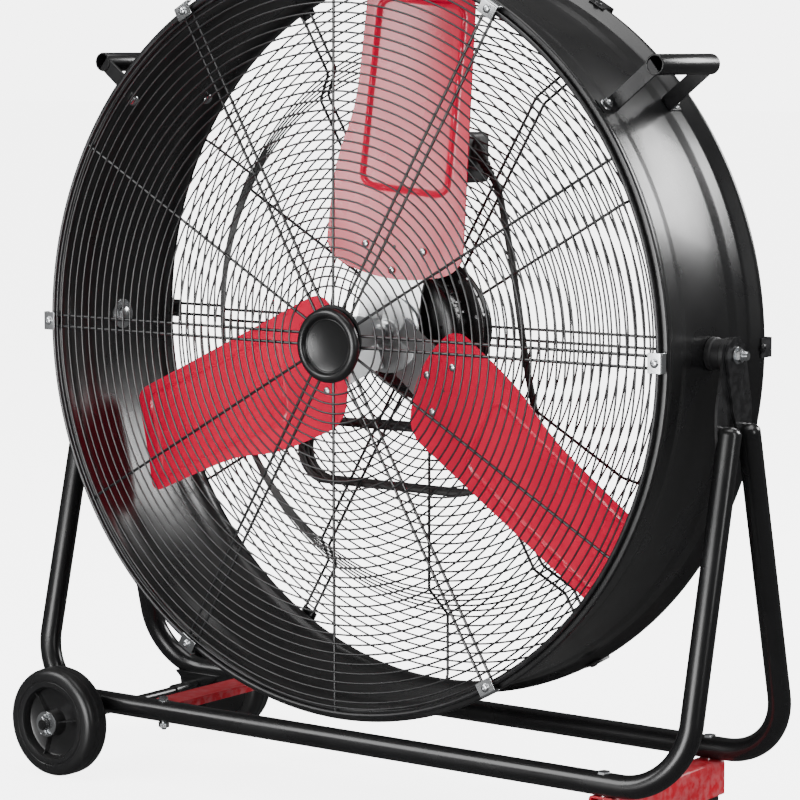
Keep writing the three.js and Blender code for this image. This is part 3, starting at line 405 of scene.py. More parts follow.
def keep(node, material, bevel=0.0):
    """A CAD node that already has its shape gets its finish, and soft edges if it needs them."""
    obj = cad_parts[node]
    obj.data.materials.clear()
    obj.data.materials.append(material)
    if bevel:
        add_bevel(obj, bevel)


print("piece maker ready")

# %% [markdown]
# ## Mains cord
# The lead leaves the switch box downwards and to the right, crosses the rear guard in a slack
# line and ends in a hank that is tied to the guard. A curve could carry it, but a swept tube
# with its own list of points follows the stored turns exactly.

# %% Route of the cord
CORD = 3.75
BOX_MIDDLE = Vector((17, 0, 184))
RELIEF_START = Vector((45, 90, 197))
RELIEF_WAY = Vector((math.cos(math.radians(-57)), 0, math.sin(math.radians(-57))))
RELIEF_LENGTH = 42
HANK_RIGHT, HANK_LEFT, HANK_Z, HANK_HALF = 145, -185, -146, 33
HANK_Y, CLIMB, PLUG_LIFT, TIE_X, TIE_PULL = 76.15, 8.4, 12, 86, 11
RUN = [
    (HANK_RIGHT - HANK_HALF, HANK_HALF),
    (TIE_X + 6, HANK_HALF - TIE_PULL),
    (TIE_X - 6, HANK_HALF - TIE_PULL),
    (TIE_X - 60, HANK_HALF),
    ((TIE_X - 60 + HANK_LEFT + HANK_HALF) / 2, HANK_HALF),
    (HANK_LEFT + HANK_HALF, HANK_HALF),
]


def run_points(steps=9):
    """(x, half width, share of the climb) from the right end of a run to its left end."""
    points = []
    for i, ((x0, h0), (x1, h1)) in enumerate(zip(RUN, RUN[1:])):
        for k in range(steps):
            t = k / steps
            ease = t * t * (3 - 2 * t)
            points.append((x0 + (x1 - x0) * t, h0 + (h1 - h0) * ease, 0.1 * (i + t)))
    return points + [(*RUN[-1], 0.5)]


def hank_points():
    run = run_points()
    points = []
    for turn in range(3):
        y = HANK_Y + CLIMB * turn
        for a in range(0, -90, -9):
            angle = math.radians(a)
            points.append((RUN[0][0] + HANK_HALF * math.cos(angle), y,
                           HANK_Z + HANK_HALF * math.sin(angle)))
        points += [(x, y + CLIMB * share, HANK_Z - half) for x, half, share in run[:-1]]
        for a in range(-90, -270, -9):
            angle = math.radians(a)
            points.append((RUN[-1][0] + HANK_HALF * math.cos(angle), y + CLIMB / 2,
                           HANK_Z + HANK_HALF * math.sin(angle)))
        upper = [(x, y + CLIMB * (1 - share), HANK_Z + half) for x, half, share in run[::-1]]
        if turn == 2:
            last = [p for p in upper if p[0] <= RUN[4][0] + 0.01]
            for i, (x, py, z) in enumerate(last):
                t = i / (len(last) - 1)
                points.append((x, py + PLUG_LIFT * t * t * (3 - 2 * t), z))
            points.append((last[-1][0] + 7.5, last[-1][1] + PLUG_LIFT, last[-1][2]))
            return [Vector(p) for p in points]
        points += upper[:-1]
        for a in range(90, 0, -9):
            angle = math.radians(a)
            points.append((RUN[0][0] + HANK_HALF * math.cos(angle), y + CLIMB,
                           HANK_Z + HANK_HALF * math.sin(angle)))
    return points


def smooth_through(points, steps):
    """A Catmull-Rom curve through the points."""
    padded = [2 * points[0] - points[1], *points, 2 * points[-1] - points[-2]]
    curve = []
    for p0, p1, p2, p3 in zip(padded, padded[1:], padded[2:], padded[3:]):
        for i in range(steps):
            t = i / steps
            curve.append(0.5 * (2 * p1 + (p2 - p0) * t + (2 * p0 - 5 * p1 + 4 * p2 - p3) * t ** 2
                                + (3 * p1 - p0 - 3 * p2 + p3) * t ** 3))
    return curve + [points[-1]]


hank = hank_points()
relief_end = RELIEF_START + RELIEF_WAY * RELIEF_LENGTH
drop = [relief_end, relief_end + RELIEF_WAY * 8] + [Vector(p) for p in (
    (77, 90, 144), (83, 89, 122), (90, 88, 95), (97, 87, 65), (104, 85, 32), (111, 83, -2),
    (119, 81, -38), (128, 79, -72), (136, 77, -100), (142, 76, -124))]
drop += [hank[0] + Vector((0, 0, 7.8))]
cord_path = smooth_through(drop, 5) + hank

# %% [markdown]
# The moulded plug lies along the last turn. Its grip is turned with ribs for the fingers, and
# two flat blades and a round earth pin stand out of its face.

# %% Cord, plug and tie
def grip_profile(length, start, end, ribs):
    profile = [(0, 0), (start, 0)]
    for i in range(ribs * 6 + 1):
        t = i / (ribs * 6)
        swell = start + (end - start) * min(1, t * 1.6) ** 0.8
        groove = 0.35 * (1 - math.cos(2 * math.pi * t * ribs))
        profile.append((swell - groove, 2 + t * (length - 4)))
    return profile + [(end - 1.5, length), (0, length)]


plug_start = hank[-1] + Vector((0.3, 0, 0))
plug_shape = joined(
    spin([(0, 0), (CORD + 1, 0), (5.2, 6), (6.5, 12), (8, 19), (8, 22), (0, 22)],
         plug_start, (1, 0, 0), 32),
    spin([(r, d + 18) for r, d in grip_profile(30, 10.5, 12.8, 4)], plug_start, (1, 0, 0), 40),
)
pins = spin([(0, 0), (2.4, 0), (2.4, 16), (1.2, 18), (0, 18)], plug_start + Vector((47, 0, -5)),
            (1, 0, 0), 20)
for aside in (7.1, -7.1):
    blade_place = Matrix.Translation(plug_start + Vector((56, aside, 4)))
    flat_pin = sheet_of(rounded_outline(18, 6.3, 1.2), 1.5,
                        blade_place @ Matrix.Rotation(math.pi / 2, 4, "X"))
    pins = joined(flat_pin, pins)
at_drum = Matrix.Translation(DRUM)
plug = piece("plug_body", moved(plug_shape, at_drum), rubber, "drum", ["plug"])
plug_pins = piece("plug_pins", moved(pins, at_drum), zinc, "drum", bevel=0.3)

world_path = [p + DRUM for p in cord_path]
cord = piece("mains_cord", tube(world_path, CORD, 16), rubber, "drum",
             ["cord_drop", "cord_hank"])

tie_low, tie_high = 64.0, 98.6
tie_half = HANK_HALF - TIE_PULL + CORD + 0.9
outer = rounded_outline(tie_high - tie_low + 3.2, 2 * tie_half + 3.2, 6)
inner = rounded_outline(tie_high - tie_low, 2 * tie_half, 4.5)
band_points, band_faces = [], []
for x in (-4, 4):
    for ring in (outer, inner):
        band_points += [Vector((TIE_X + x, (tie_low + tie_high) / 2 + a, HANK_Z + b)) for a, b in ring]
n = len(outer)
for k in range(n):
    m = (k + 1) % n
    band_faces += [(k, m, n + m, n + k), (2 * n + k, 3 * n + k, 3 * n + m, 2 * n + m),
                   (k, 2 * n + k, 2 * n + m, m), (n + k, n + m, 3 * n + m, 3 * n + k)]
buckle = block((TIE_X, tie_high + 3, HANK_Z + 8), (10, 4.5, 12))
piece("tie_band", moved(joined((band_points, band_faces), buckle), at_drum), plastic, "drum",
      ["cord_tie"], bevel=0.4)
print("plug, pins, cord and tie made")

# %% [markdown]
# ## Strain relief
# A tapered sleeve keeps the lead from kinking where it enters the box. Real ones have slots
# that let them bend, which a turned profile with grooves shows well.

# %% Strain relief
relief_profile = [(0, -4), (9.5, -4), (9.5, 3), (8, 4)]
for i in range(6):
    t0, t1 = 6 + i * 5.6, 6 + i * 5.6 + 3.6
    r0, r1 = 7.8 - 0.11 * t0 * 0.75, 7.8 - 0.11 * t1 * 0.75
    relief_profile += [(r0, t0), (r1, t1), (r1 - 1.4, t1 + 0.3), (r1 - 1.5, t1 + 1.7)]
relief_profile += [(CORD + 0.9, RELIEF_LENGTH - 1), (CORD + 0.3, RELIEF_LENGTH), (0, RELIEF_LENGTH)]
relief = spin(relief_profile, RELIEF_START, RELIEF_WAY, 32)
flange = spin([(0, 0), (11, 0), (11, 2), (9.6, 3), (0, 3)], Vector((48.3, 90, 192)), (1, 0, 0), 40)
piece("relief_sleeve", moved(joined(relief, flange), at_drum), rubber, "drum",
      ["strain_relief"])
print("strain relief made")

# %% [markdown]
# ## Drum
# The drum is rolled from one strip: a plain band in the middle, a small shoulder, and a flare
# that ends in a folded rim. The fold gives the flat face that the guard clips screw into. It is
# one profile spun about the fan's axis.

# %% Drum shell
RIM, HALF_DEPTH, WALL, INNER_LIP = 399.6, 94, 388, 386.6
outer_half = [(WALL, 0), (WALL, 40), (388.6, 43), (390.3, 51), (391, 55), (391, 71), (391.5, 73.4),
              (393, 76.5), (398.2, 86.5), (399.3, 88.6), (RIM, 90), (RIM, 92.6), (399, 93.7),
              (398, HALF_DEPTH)]
inner_half = [(388.4, HALF_DEPTH), (387.2, 93.6), (INNER_LIP, 92.6), (INNER_LIP, 80), (387.2, 79.2),
              (389.2, 72), (389.4, 56), (388.6, 51), (386.9, 43.4), (386.4, 40), (386.4, 0)]
half = outer_half + inner_half
profile = half + [(r, -y) for r, y in half[::-1][1:-1]]
drum = piece("rolled_drum", spin(profile, DRUM, segments=192), black_gloss, "drum",
             ["drum_shell"], angle=50)
print("drum:", len(drum.data.vertices), "points")

# %% [markdown]
# ## Wire guards
# Each guard is a set of rings on six pairs of wires and six single ones. The front guard is
# almost flat. The rear one steps forward to carry the motor. Rings are spun, spokes are swept.

# %% Guard wires
RING_WIRE, SPOKE_WIRE, RIM_WIRE, PITCH = 1.05, 1.6, 2.2, 10.05
CLIP_ANGLES = [0, 60, 120, 180, 240, 300]
FRONT_PLANE, DOME = 101.6, 2.0


def wire_ring(radius, y, wire):
    section = [(radius + wire * math.cos(a), y + wire * math.sin(a))
               for a in (math.pi * k / 4 for k in range(8))]
    return spin(section, DRUM, segments=max(48, int(radius * 0.42)))


def wire_spoke(path, degrees, aside, wire=SPOKE_WIRE):
    place = at_drum @ about_y(degrees) @ Matrix.Translation((0, 0, aside))
    return moved(tube([(r, y, 0) for r, y in path], wire, 8), place)


def spoke_set(path):
    shapes = []
    for degrees in CLIP_ANGLES:
        shapes += [wire_spoke(path, degrees, 6), wire_spoke(path, degrees, -6)]
        shapes.append(wire_spoke(path, degrees + 30, 0))
    return shapes


def front_y(radius):
    return -(FRONT_PLANE + DOME * (1 - (radius / 392) ** 2))


front_rings = [wire_ring(378 - PITCH * k, front_y(378 - PITCH * k), RING_WIRE) for k in range(33)]
front_rings += [wire_ring(384.8, front_y(384.8), RING_WIRE), wire_ring(391.6, -99.4, RIM_WIRE)]
front_path = [(r, front_y(r) + RING_WIRE + SPOKE_WIRE - 0.4) for r in (34, 120, 200, 280, 360, 384)]
front_path += [(390, -98.6)]
back_plate = spin([(0, -100.6), (36, -100.6), (37, -101.6), (36, -103.2), (0, -103.2)],
                  DRUM, segments=64)
guard = piece("front_wires", joined(*front_rings, *spoke_set(front_path), back_plate), wire_coat,
              "drum", ["front_guard"])
print("front guard:", len(guard.data.vertices), "points")

# %% Rear guard
REAR_PLANE, FIELD_PLANE = 101.6, 66.5
rear_wires = [wire_ring(391.6, 99.4, RIM_WIRE)]
rear_wires += [wire_ring(378 - PITCH * k, REAR_PLANE, RING_WIRE) for k in range(7)]
for k in range(1, 5):
    t = k / 5
    rear_wires.append(wire_ring(317 - 33 * t, REAR_PLANE + (FIELD_PLANE - REAR_PLANE) * t, RING_WIRE))
rear_wires += [wire_ring(284 - PITCH * k, FIELD_PLANE, RING_WIRE) for k in range(20)]
rear_wires.append(wire_ring(79, FIELD_PLANE, RIM_WIRE))
over = RING_WIRE + SPOKE_WIRE - 0.3
rear_path = [(391, 101.2), (384, REAR_PLANE + over), (320, REAR_PLANE + over),
             (316, REAR_PLANE + over - 1.5), (286, FIELD_PLANE + over + 1.5),
             (282, FIELD_PLANE + over), (78, FIELD_PLANE + over)]


def clip_shape(side, leg, screw_on_face):
    """A bent tab at +X that holds the guard down on the rim, and the head of its screw."""
    face, rim = side * 105.9, 398.9
    bend = 2.4
    edge = [(384.5, 0), (rim + 1.4 - bend, 0)] + [
        (x, y) for x, y in arc((rim + 1.4 - bend, -bend), bend, 90, 0, 4)] + [(rim + 1.4, -leg)]
    inside = [(x - 1.4, y) for x, y in edge[::-1][:1]] + [
        (rim - 1.0, -bend), (rim - 1.8, -1.4), (384.5, -1.4)]
    outline = [(x, (face + side * 1.4) + side * y) for x, y in edge + inside]
    plate = sheet_of(outline, 20, Matrix.Translation((0, 0, -10)))
    if screw_on_face:
        seat = Vector((392.4, face + side * 1.4, 0))
        way = Vector((0, side, 0))
    else:
        seat = Vector((rim + 1.4, side * 88, 0))
        way = Vector((1, 0, 0))
    head = [(0, 0), (4.6, 0), (4.5, 0.9), (3.6, 2.0), (2.2, 2.5), (1.0, 2.6), (0.9, 1.4), (0, 1.4)]
    return joined(plate, spin(head, seat, way, 24))


rear_clips = [moved(clip_shape(1, 22, False), at_drum @ about_y(a)) for a in CLIP_ANGLES]
guard = piece("rear_wires", joined(*rear_wires, *spoke_set(rear_path), *rear_clips), wire_coat,
              "drum", ["rear_guard"])
print("rear guard:", len(guard.data.vertices), "points")

# %% [markdown]
# ## Badge and clips
# A dished cap covers the middle of the front guard. Six bright tabs hold the guard to the rim.

# %% Badge and front clips
CAP_FACE, CAP_DROP = -116.0, 5
badge_profile = [(0, -106), (37.5, -106), (38.8, -107.4), (39, -110), (38.4, -112.6), (36.8, -114.8),
                 (34.6, CAP_FACE), (32.2, CAP_FACE), (30.4, -115.2), (29.4, -113.4), (29, -111.6),
                 (28.4, -110.7), (27.4, -110.4), (26.8, -110.9), (26, -110.4), (0, -110)]
cap_shape = spin(badge_profile, DRUM - Vector((0, 0, CAP_DROP)), segments=96)
piece("centre_cap", cap_shape, black_gloss, "drum", ["badge"], angle=60)
for i, degrees in enumerate(CLIP_ANGLES):
    shape = moved(clip_shape(-1, 9, True), at_drum @ about_y(degrees))
    piece(f"rim_clip_{i + 1}", shape, zinc, "drum", [f"front_clip_{i + 1}"], bevel=0.3)
print("badge and clips made")

# %% [markdown]
# ## Bolts
# Hexagon nuts have chamfered corners and sit on washers. One maker gives a bolt with a domed
# or hexagon head, its washer, thread end and nut, along any line.

# %% Hardware maker
def hexagon(seat, way, across, height):
    """A nut whose corners are taken off at both faces."""
    r = across / math.sqrt(3)
    rings = [(r * 0.86, 0), (r, height * 0.14), (r, height * 0.86), (r * 0.86, height)]
    return spin([(0, 0), *rings, (0, height)], seat, way, 6)


def washer(seat, way, radius, height, hole=0.0):
    edge = min(0.4, height / 3)
    return spin([(hole, 0), (radius - edge, 0), (radius, edge), (radius, height - edge),
                 (radius - edge, height), (hole, height)], seat, way, 40)


def thread_end(seat, way, radius, length):
    profile = [(0, 0), (radius, 0)]
    for k in range(int(length / 1.25)):
        profile += [(radius, k * 1.25 + 0.2), (radius - 0.5, k * 1.25 + 0.8)]
    return spin([*profile, (radius - 0.8, length), (0, length)], seat, way, 20)


def dome_head(seat, way, radius, height):
    curve = [(radius * math.cos(a), height * math.sin(a))
             for a in (math.pi / 2 * k / 7 for k in range(8))]
    return spin([(0, 0), *curve[:-1], (0, height)], seat, way, 32)


print("hardware maker ready")

# %% Bolts of the stand and handles
TUBE_DROP, SPREAD, TUBE = 421.5, 102, 12
STRAP_X, FOOT_X = -240, 330
DOWN, UP = Vector((0, 0, -1)), Vector((0, 0, 1))
strap_top = AXIS_HEIGHT - TUBE_DROP + TUBE - 4 + 0.3 + 2.5 + 0.3
dimple_top = AXIS_HEIGHT - TUBE_DROP + TUBE - 4 + 0.3
foot_top = AXIS_HEIGHT - TUBE_DROP - TUBE - 0.3
places = {"side": (STRAP_X, strap_top, foot_top, 6, 10),
          "foot": (FOOT_X, dimple_top, foot_top - 2.8, 7, 11.5)}
for which, (x, top, under, seat_radius, across) in places.items():
    for end, y in (("front", -SPREAD), ("rear", SPREAD)):
        head, nut = Vector((x, y, top)), Vector((x, y, under))
        shape = joined(
            washer(head, UP, seat_radius, 1.1), hexagon(head + UP * 1.1, UP, across, 3.6),
            washer(nut, DOWN, 6.4, 1.0), hexagon(nut + DOWN, DOWN, 10.5, 4.8),
            thread_end(nut + DOWN * 5.8, DOWN, 3.4, 2.2),
            spin([(0, 0), (3.4, 0), (3.4, top - under), (0, top - under)], nut, UP, 20),
        )
        piece(f"{which}_bolt_{end}", shape, zinc, "stand", [f"brace_bolt_{which}_{end}"])

HANDLE_ANGLES = {"right": 38.6, "left": 141.4}
FOOT, FOOT_BOLT_Y = 389.8, 63
for name, degrees in HANDLE_ANGLES.items():
    for end, y in (("front", -FOOT_BOLT_Y), ("rear", FOOT_BOLT_Y)):
        shape = joined(
            dome_head(Vector((389.2, y, 0)), Vector((-1, 0, 0)), 6.6, 3.4),
            washer(Vector((FOOT + 3.3, y, 0)), Vector((1, 0, 0)), 6.6, 1.1),
            hexagon(Vector((FOOT + 4.4, y, 0)), Vector((1, 0, 0)), 10, 4.6),
            thread_end(Vector((FOOT + 9, y, 0)), Vector((1, 0, 0)), 3.0, 2.4),
            spin([(0, 0), (3, 0), (3, 6), (0, 6)], Vector((388, y, 0)), (1, 0, 0), 16),
        )
        piece(f"grip_bolt_{name}_{end}", moved(shape, at_drum @ about_y(degrees)), zinc, "drum",
              [f"handle_bolt_{name}_{end}"])
print("eight bolts made")

# %% [markdown]
# ## Carrying handles
# A rolled steel tube, open at both ends, is welded across two straps. Each strap bends out at
# the drum into a foot with a bolt hole.

# %% Handles
def handle_shape():
    grip = spin([(8.7, -54), (9.4, -54.4), (10.2, -54), (10.5, -53), (10.5, 53), (10.2, 54),
                 (9.4, 54.4), (8.7, 54)], (457, 0, 0), (0, 1, 0), 48)
    shapes = [grip]
    for end in (-1, 1):
        bend, inside, outside = 5, 50.0, 53.0
        path = [(456, inside), (456, outside), (FOOT + 3 + bend - 3, outside)]
        path += [(x, y) for x, y in arc((FOOT + 5, outside + 2), 2, 270, 180, 4)]
        path += [(FOOT + 3, 73), (FOOT, 73), (FOOT, inside + 5)]
        path += [(x, y) for x, y in arc((FOOT + 5, inside + 5), 5, 180, 270, 4)][1:]
        outline = [(x, end * y) for x, y in path]
        shapes.append(sheet_of(outline, 16, Matrix.Translation((0, 0, -8))))
    return joined(*shapes)


for name, degrees in HANDLE_ANGLES.items():
    piece(f"grip_{name}", moved(handle_shape(), at_drum @ about_y(degrees)), black_gloss, "drum",
          [f"handle_{name}"], bevel=0.5)
print("handles made")

# %% [markdown]
# ## Stand
# Two U shapes of round tube lean against each other. At their tops the tube is pressed flat
# into a plate with a round end, and the two plates share one tilt bolt. The pressed end of the
# round part is a short dome, which a shrinking radius gives to the swept tube.

# %% Tube frames
LEG_X, BEND, LEG_TOP = 420, 70, 80
LEG_ANGLE, LEG_LENGTH = math.atan2(SPREAD, TUBE_DROP), math.hypot(TUBE_DROP, SPREAD)


def on_leg(x, down, side):
    return PIVOT + Vector((x, side * down * math.sin(LEG_ANGLE), -down * math.cos(LEG_ANGLE)))


def frame_tube(side):
    dome = [(LEG_TOP - 9 * math.cos(math.pi / 2 * k / 6), TUBE * math.sin(math.pi / 2 * k / 6) + 0.3)
            for k in range(6)]
    path = [on_leg(-LEG_X, down, side) for down, _ in dome]
    radii = [r for _, r in dome]
    middle = [on_leg(-LEG_X, LEG_TOP, side)]
    for end in (-1, 1):
        for i in range(25):
            angle = math.pi / 2 * (i / 24 if end < 0 else 1 - i / 24)
            x = end * (LEG_X - BEND + BEND * math.cos(angle))
            middle.append(on_leg(x, LEG_LENGTH - BEND + BEND * math.sin(angle), side))
    middle.append(on_leg(LEG_X, LEG_TOP, side))
    path += middle + [on_leg(LEG_X, down, side) for down, _ in dome[::-1]]
    radii += [TUBE] * len(middle) + radii[::-1]
    return tube(path, radii, 28)


def leg_plate(x, side):
    outline = [(-5, -98), (5, -98), (10, -86), (14, -74), (17, -62), (18, -52), (18, 0)]
    outline += arc((0, 0), 18, 0, 180, 24)[1:]
    outline += [(-18, -52), (-17, -62), (-14, -74), (-10, -86)]
    stand_up = Matrix.Rotation(math.pi / 2, 4, "Z") @ Matrix.Rotation(math.pi / 2, 4, "X")
    lean = Matrix.Rotation(side * LEG_ANGLE, 4, "X")
    at_side = Matrix.Translation(PIVOT) @ lean @ Matrix.Translation((x, 0, 0))
    return sheet_of(outline, 3, at_side @ stand_up)


for side, end, plate_x in ((-1, "front", 410), (1, "rear", 413.3)):
    shape = joined(frame_tube(side), leg_plate(plate_x, side), leg_plate(-plate_x - 3, side))
    piece(f"bent_tube_{end}", shape, black_powder, "stand", [f"{end}_frame"],
          angle=50)
print("frames made")

# %% [markdown]
# ## Braces and feet
# Red pressed straps tie the two frames together. The one near the wheels lies on top, and the
# channel at the other end carries two rubber feet.

# %% Braces
def channel(width, height, sheet, radius, steps=4):
    """Half a tray section, open below: outer skin, then inner skin."""
    a, r = width / 2, radius
    outer_line = [(-a, -height)] + arc((-a + r, -r), r, 180, 90, steps)
    outer_line += arc((a - r, -r), r, 90, 0, steps) + [(a, -height)]
    b, q = a - sheet, max(0.3, r - sheet)
    inner_line = [(b, -height)] + arc((b - q, -sheet - q), q, 0, 90, steps)
    inner_line += arc((-b + q, -sheet - q), q, 90, 180, steps) + [(-b, -height)]
    return outer_line + inner_line


lay_along_y = Matrix.Rotation(math.pi / 2, 4, "X")
tray_place = Matrix.Translation((STRAP_X, 86, strap_top - 0.3)) @ lay_along_y
tray = sheet_of(channel(34, 9, 2.5, 4), 172, tray_place)
tab_outline = rounded_outline(34, 214, 7)
tabs = sheet_of(tab_outline, 2.4, Matrix.Translation((STRAP_X, 0, strap_top - 2.75)))
piece("wheel_side_strap", joined(tray, tabs), red_brace, "stand", ["side_brace"],
      bevel=0.3)
foot_place = Matrix.Translation((FOOT_X, 107, foot_top)) @ lay_along_y
foot = sheet_of(channel(30, 36, 2.5, 4), 214, foot_place)
piece("foot_channel", foot, red_brace, "stand", ["foot_brace"], bevel=0.3)

for end, y in (("front", -85), ("rear", 85)):
    low = foot_top - 36
    pad = joined(block((FOOT_X, y, low + 11.5), (24.2, 40, 25)),
                 block((FOOT_X, y, (low + 1) / 2 + 2), (21.2, 36, low - 3)),
                 block((FOOT_X, y, 2.6), (21.4, 36, 5.2)))
    for k in range(3):
        pad = joined(pad, block((FOOT_X, y, 8 + 6 * k), (22.2, 36.8, 2.4)))
    piece(f"rubber_foot_{end}", pad, rubber, "stand", [f"foot_pad_{end}"], bevel=0.8)
print("braces and feet made")

# %% [markdown]
# ## Tilt bolts
# On each side a bolt with a big inside washer passes through the drum, a plastic bush and both
# leg plates, and ends in a nut.

# %% Tilt bolts and bushes
for name, way in (("left", Vector((-1, 0, 0))), ("right", Vector((1, 0, 0)))):
    def out(distance):
        return PIVOT + way * distance
    shape = joined(
        washer(out(386.1), -way, 16.5, 2.0), hexagon(out(384.1), -way, 15, 5.6),
        washer(out(416.6), way, 8.5, 1.6), hexagon(out(418.2), way, 12, 5.4),
        thread_end(out(423.6), way, 4.8, 5.6),
        spin([(0, 0), (5, 0), (5, 38), (0, 38)], out(384), way, 24),
    )
    piece(f"tilt_bolt_{name}", shape, zinc, "stand", [f"pivot_bolt_{name}"])
    bush = spin([(5.5, 0), (17, 0), (17, 5), (15.6, 6.5), (15.6, 15), (17, 16.5), (17, 21.4),
                 (5.5, 21.4)], out(388.3), way, 64)
    piece(f"bush_{name}", bush, plastic, "drum", [f"pivot_spacer_{name}"])
print("tilt bolts made")

# %% [markdown]
# ## Wheels and axle
# Each wheel is moulded in two halves, which leaves a fine line round the tread. The hub is sunk
# in a recess with three thin ribs. A gusset under the tube wraps the axle. It is an outline cut
# from sheet, because its sides are straight and only its lower end is round.

# %% Wheels
def wheel_shape():
    """About Y at the origin, with its outer face towards -Y."""
    tread = [(52, -16), (55.5, -15.2), (58.2, -13), (59.6, -9.6), (60, -6), (60, -0.7), (60.15, -0.4),
             (60.15, 0.4), (60, 0.7), (60, 6), (59.6, 9.6), (58.2, 13), (55.5, 15.2), (52, 16)]
    outer_face = [(6.6, -20), (12.2, -20), (13.4, -19), (13.6, -8), (15, -5.2), (36, -5), (37.6, -6),
                  (39, -14), (40, -15.6), (42, -16), (45, -16), (45.6, -15.4), (47, -15.4), (47.6, -16)]
    inner_face = [(46, 16), (44, 14), (43, 5), (14, 5), (12, 6), (11, 19.4), (6.6, 19.4)]
    wheel = spin(outer_face + tread + inner_face, (0, 0, 0), (0, 1, 0), 112)
    ribs = []
    for degrees in (10, 130, 250):
        outline = [(12.8, -17.5), (16, -13), (34, -10.5), (38.6, -12), (38.6, -4), (12.8, -4)]
        rib = sheet_of(outline, 1.6, Matrix.Translation((0, 0, -0.8)))
        ribs.append(moved(rib, about_y(degrees)))
    return joined(wheel, *ribs)


WHEEL_X, AXLE_Z, WHEEL_Y = -356, 60, 144
for end, side in (("front", -1), ("rear", 1)):
    face_out = Matrix.Identity(4) if side < 0 else Matrix.Rotation(math.pi, 4, "Z")
    place = Matrix.Translation((WHEEL_X, side * WHEEL_Y, AXLE_Z)) @ face_out
    piece(f"moulded_wheel_{end}", moved(wheel_shape(), place), wheel_plastic, f"wheel_{end}_body",
          [f"wheel_{end}"], angle=42)
    seat = Vector((WHEEL_X, side * 164.3, AXLE_Z))
    piece(f"hub_washer_{end}", washer(seat, Vector((0, side, 0)), 14, 2, 6.5), zinc, "stand",
          [f"wheel_washer_{end}"])
    gusset = [(-320, 76), (-386, 76)] + arc((WHEEL_X, AXLE_Z), 9.5, 205, 335, 14)
    across_tube = Matrix.Translation((0, side * SPREAD + 14, 0)) @ lay_along_y
    piece(f"axle_gusset_{end}", sheet_of(gusset, 28, across_tube), black_powder, "stand",
          [f"axle_saddle_{end}"], bevel=0.8)
print("wheels made")

# %% Axle
along = Vector((0, 1, 0))
axle_bar = spin([(0, -173), (4.8, -173), (6, -171.6), (6, 171.6), (4.8, 173), (0, 173)],
                (WHEEL_X, 0, AXLE_Z), along, 32)
sleeves = [spin([(6.2, a), (r, a), (r, b), (6.2, b)], (WHEEL_X, 0, AXLE_Z), along, 32)
           for a, b, r in ((50, 87.6, 8), (116.4, 124.2, 9), (-124.2, -116.4, 9))]
cotters = []
for side in (-1, 1):
    y = side * 168.5
    eye = [(WHEEL_X + 2.6 * math.sin(a), y, AXLE_Z + 8.4 - 2.2 * math.cos(a))
           for a in (math.pi * 2 * k / 14 for k in range(1, 14))]
    leg = [(WHEEL_X + 0.8, y, AXLE_Z + 5), (WHEEL_X + 0.8, y, AXLE_Z - 7.5),
           (WHEEL_X + 2.2, y + side * 0.6, AXLE_Z - 9.6), (WHEEL_X + 4.6, y + side * 1.2, AXLE_Z - 11)]
    other = [(2 * WHEEL_X - x, yy, z) for x, yy, z in leg]
    cotters.append(tube([*leg[::-1], *eye[::-1], *other], 0.9, 8))
piece("axle_bar", joined(axle_bar, *sleeves), black_powder, "stand", ["axle"])
piece("split_pins", joined(*cotters), zinc, "stand")
print("axle made")

# %% [markdown]
# ## Motor
# The motor is a ribbed housing between two end bells. Cooling fins are thin sheets set round
# the body. A flange rings its middle, and the lugs for the guard bolts stand out beside it.

# %% Motor
MOTOR_BOLTS = (13, 47, 193, 227)
FIN_COUNT = 36
fin = sheet_of([(63, 33), (65.6, 33.6), (66, 36), (66, 82), (65.6, 84.4), (63, 85)], 2.2,
               Matrix.Translation((0, 0, -1.1)))
fins = [moved(fin, about_y(360 / FIN_COUNT * k)) for k in range(FIN_COUNT)]
body = spin([(62.5, 30.4), (64, 30.4), (64, 87.4), (62.5, 87.4)], segments=96)
bands = [spin([(62.6, a), (65.6, a), (65.8, a + 1), (65.8, a + 2.4), (65.6, a + 3), (62.6, a + 3)],
              segments=96) for a in (30.4, 84.6)]
bands.append(spin([(63, 58.4), (78, 58.4), (78.7, 59), (78.7, 63), (78, 63.7), (63, 63.7)],
                  segments=96))
lugs = []
for degrees in MOTOR_BOLTS:
    lug = sheet_of([(63, -7), (72.5, -7)] + arc((72.5, 0), 7, -90, 90, 8)[1:-1] + [(72.5, 7), (63, 7)],
                   6, Matrix.Rotation(-math.pi / 2, 4, "X") @ Matrix.Rotation(math.pi, 4, "X"))
    lugs.append(moved(lug, about_y(degrees) @ Matrix.Translation((0, 64.9, 0))))
piece("finned_housing", moved(joined(body, *bands, *fins, *lugs), at_drum), black_powder, "drum",
      ["motor_housing"], bevel=0.25)

front_bell = [(8.6, 18), (19, 18), (20, 18.6), (22, 20.4), (52, 21.6), (60, 23.2), (64.4, 26),
              (66, 29), (66, 30), (62, 30), (52, 26), (8.6, 26)]
rear_bell = [(8.6, 104), (14.6, 104), (16, 103), (18, 101.4), (50, 100.4), (60, 98.4), (64.4, 95),
             (66, 92), (66, 88), (62, 88), (53, 96), (8.6, 96)]
vents = []
for k in range(12):
    slot_bar = block((40, 19.6, 0), (22, 3, 3.4))
    vents.append(moved(slot_bar, about_y(30 * k + 8)))
piece("front_bell", moved(joined(spin(front_bell, segments=96), *vents), at_drum), black_powder, "drum",
      ["motor_front_bell"], bevel=0.2)
ribs = [moved(block((38, 101.6, 0), (30, 2.6, 3)), about_y(30 * k)) for k in range(12)]
piece("rear_bell", moved(joined(spin(rear_bell, segments=96), *ribs), at_drum), black_powder, "drum",
      ["motor_rear_bell"], bevel=0.2)
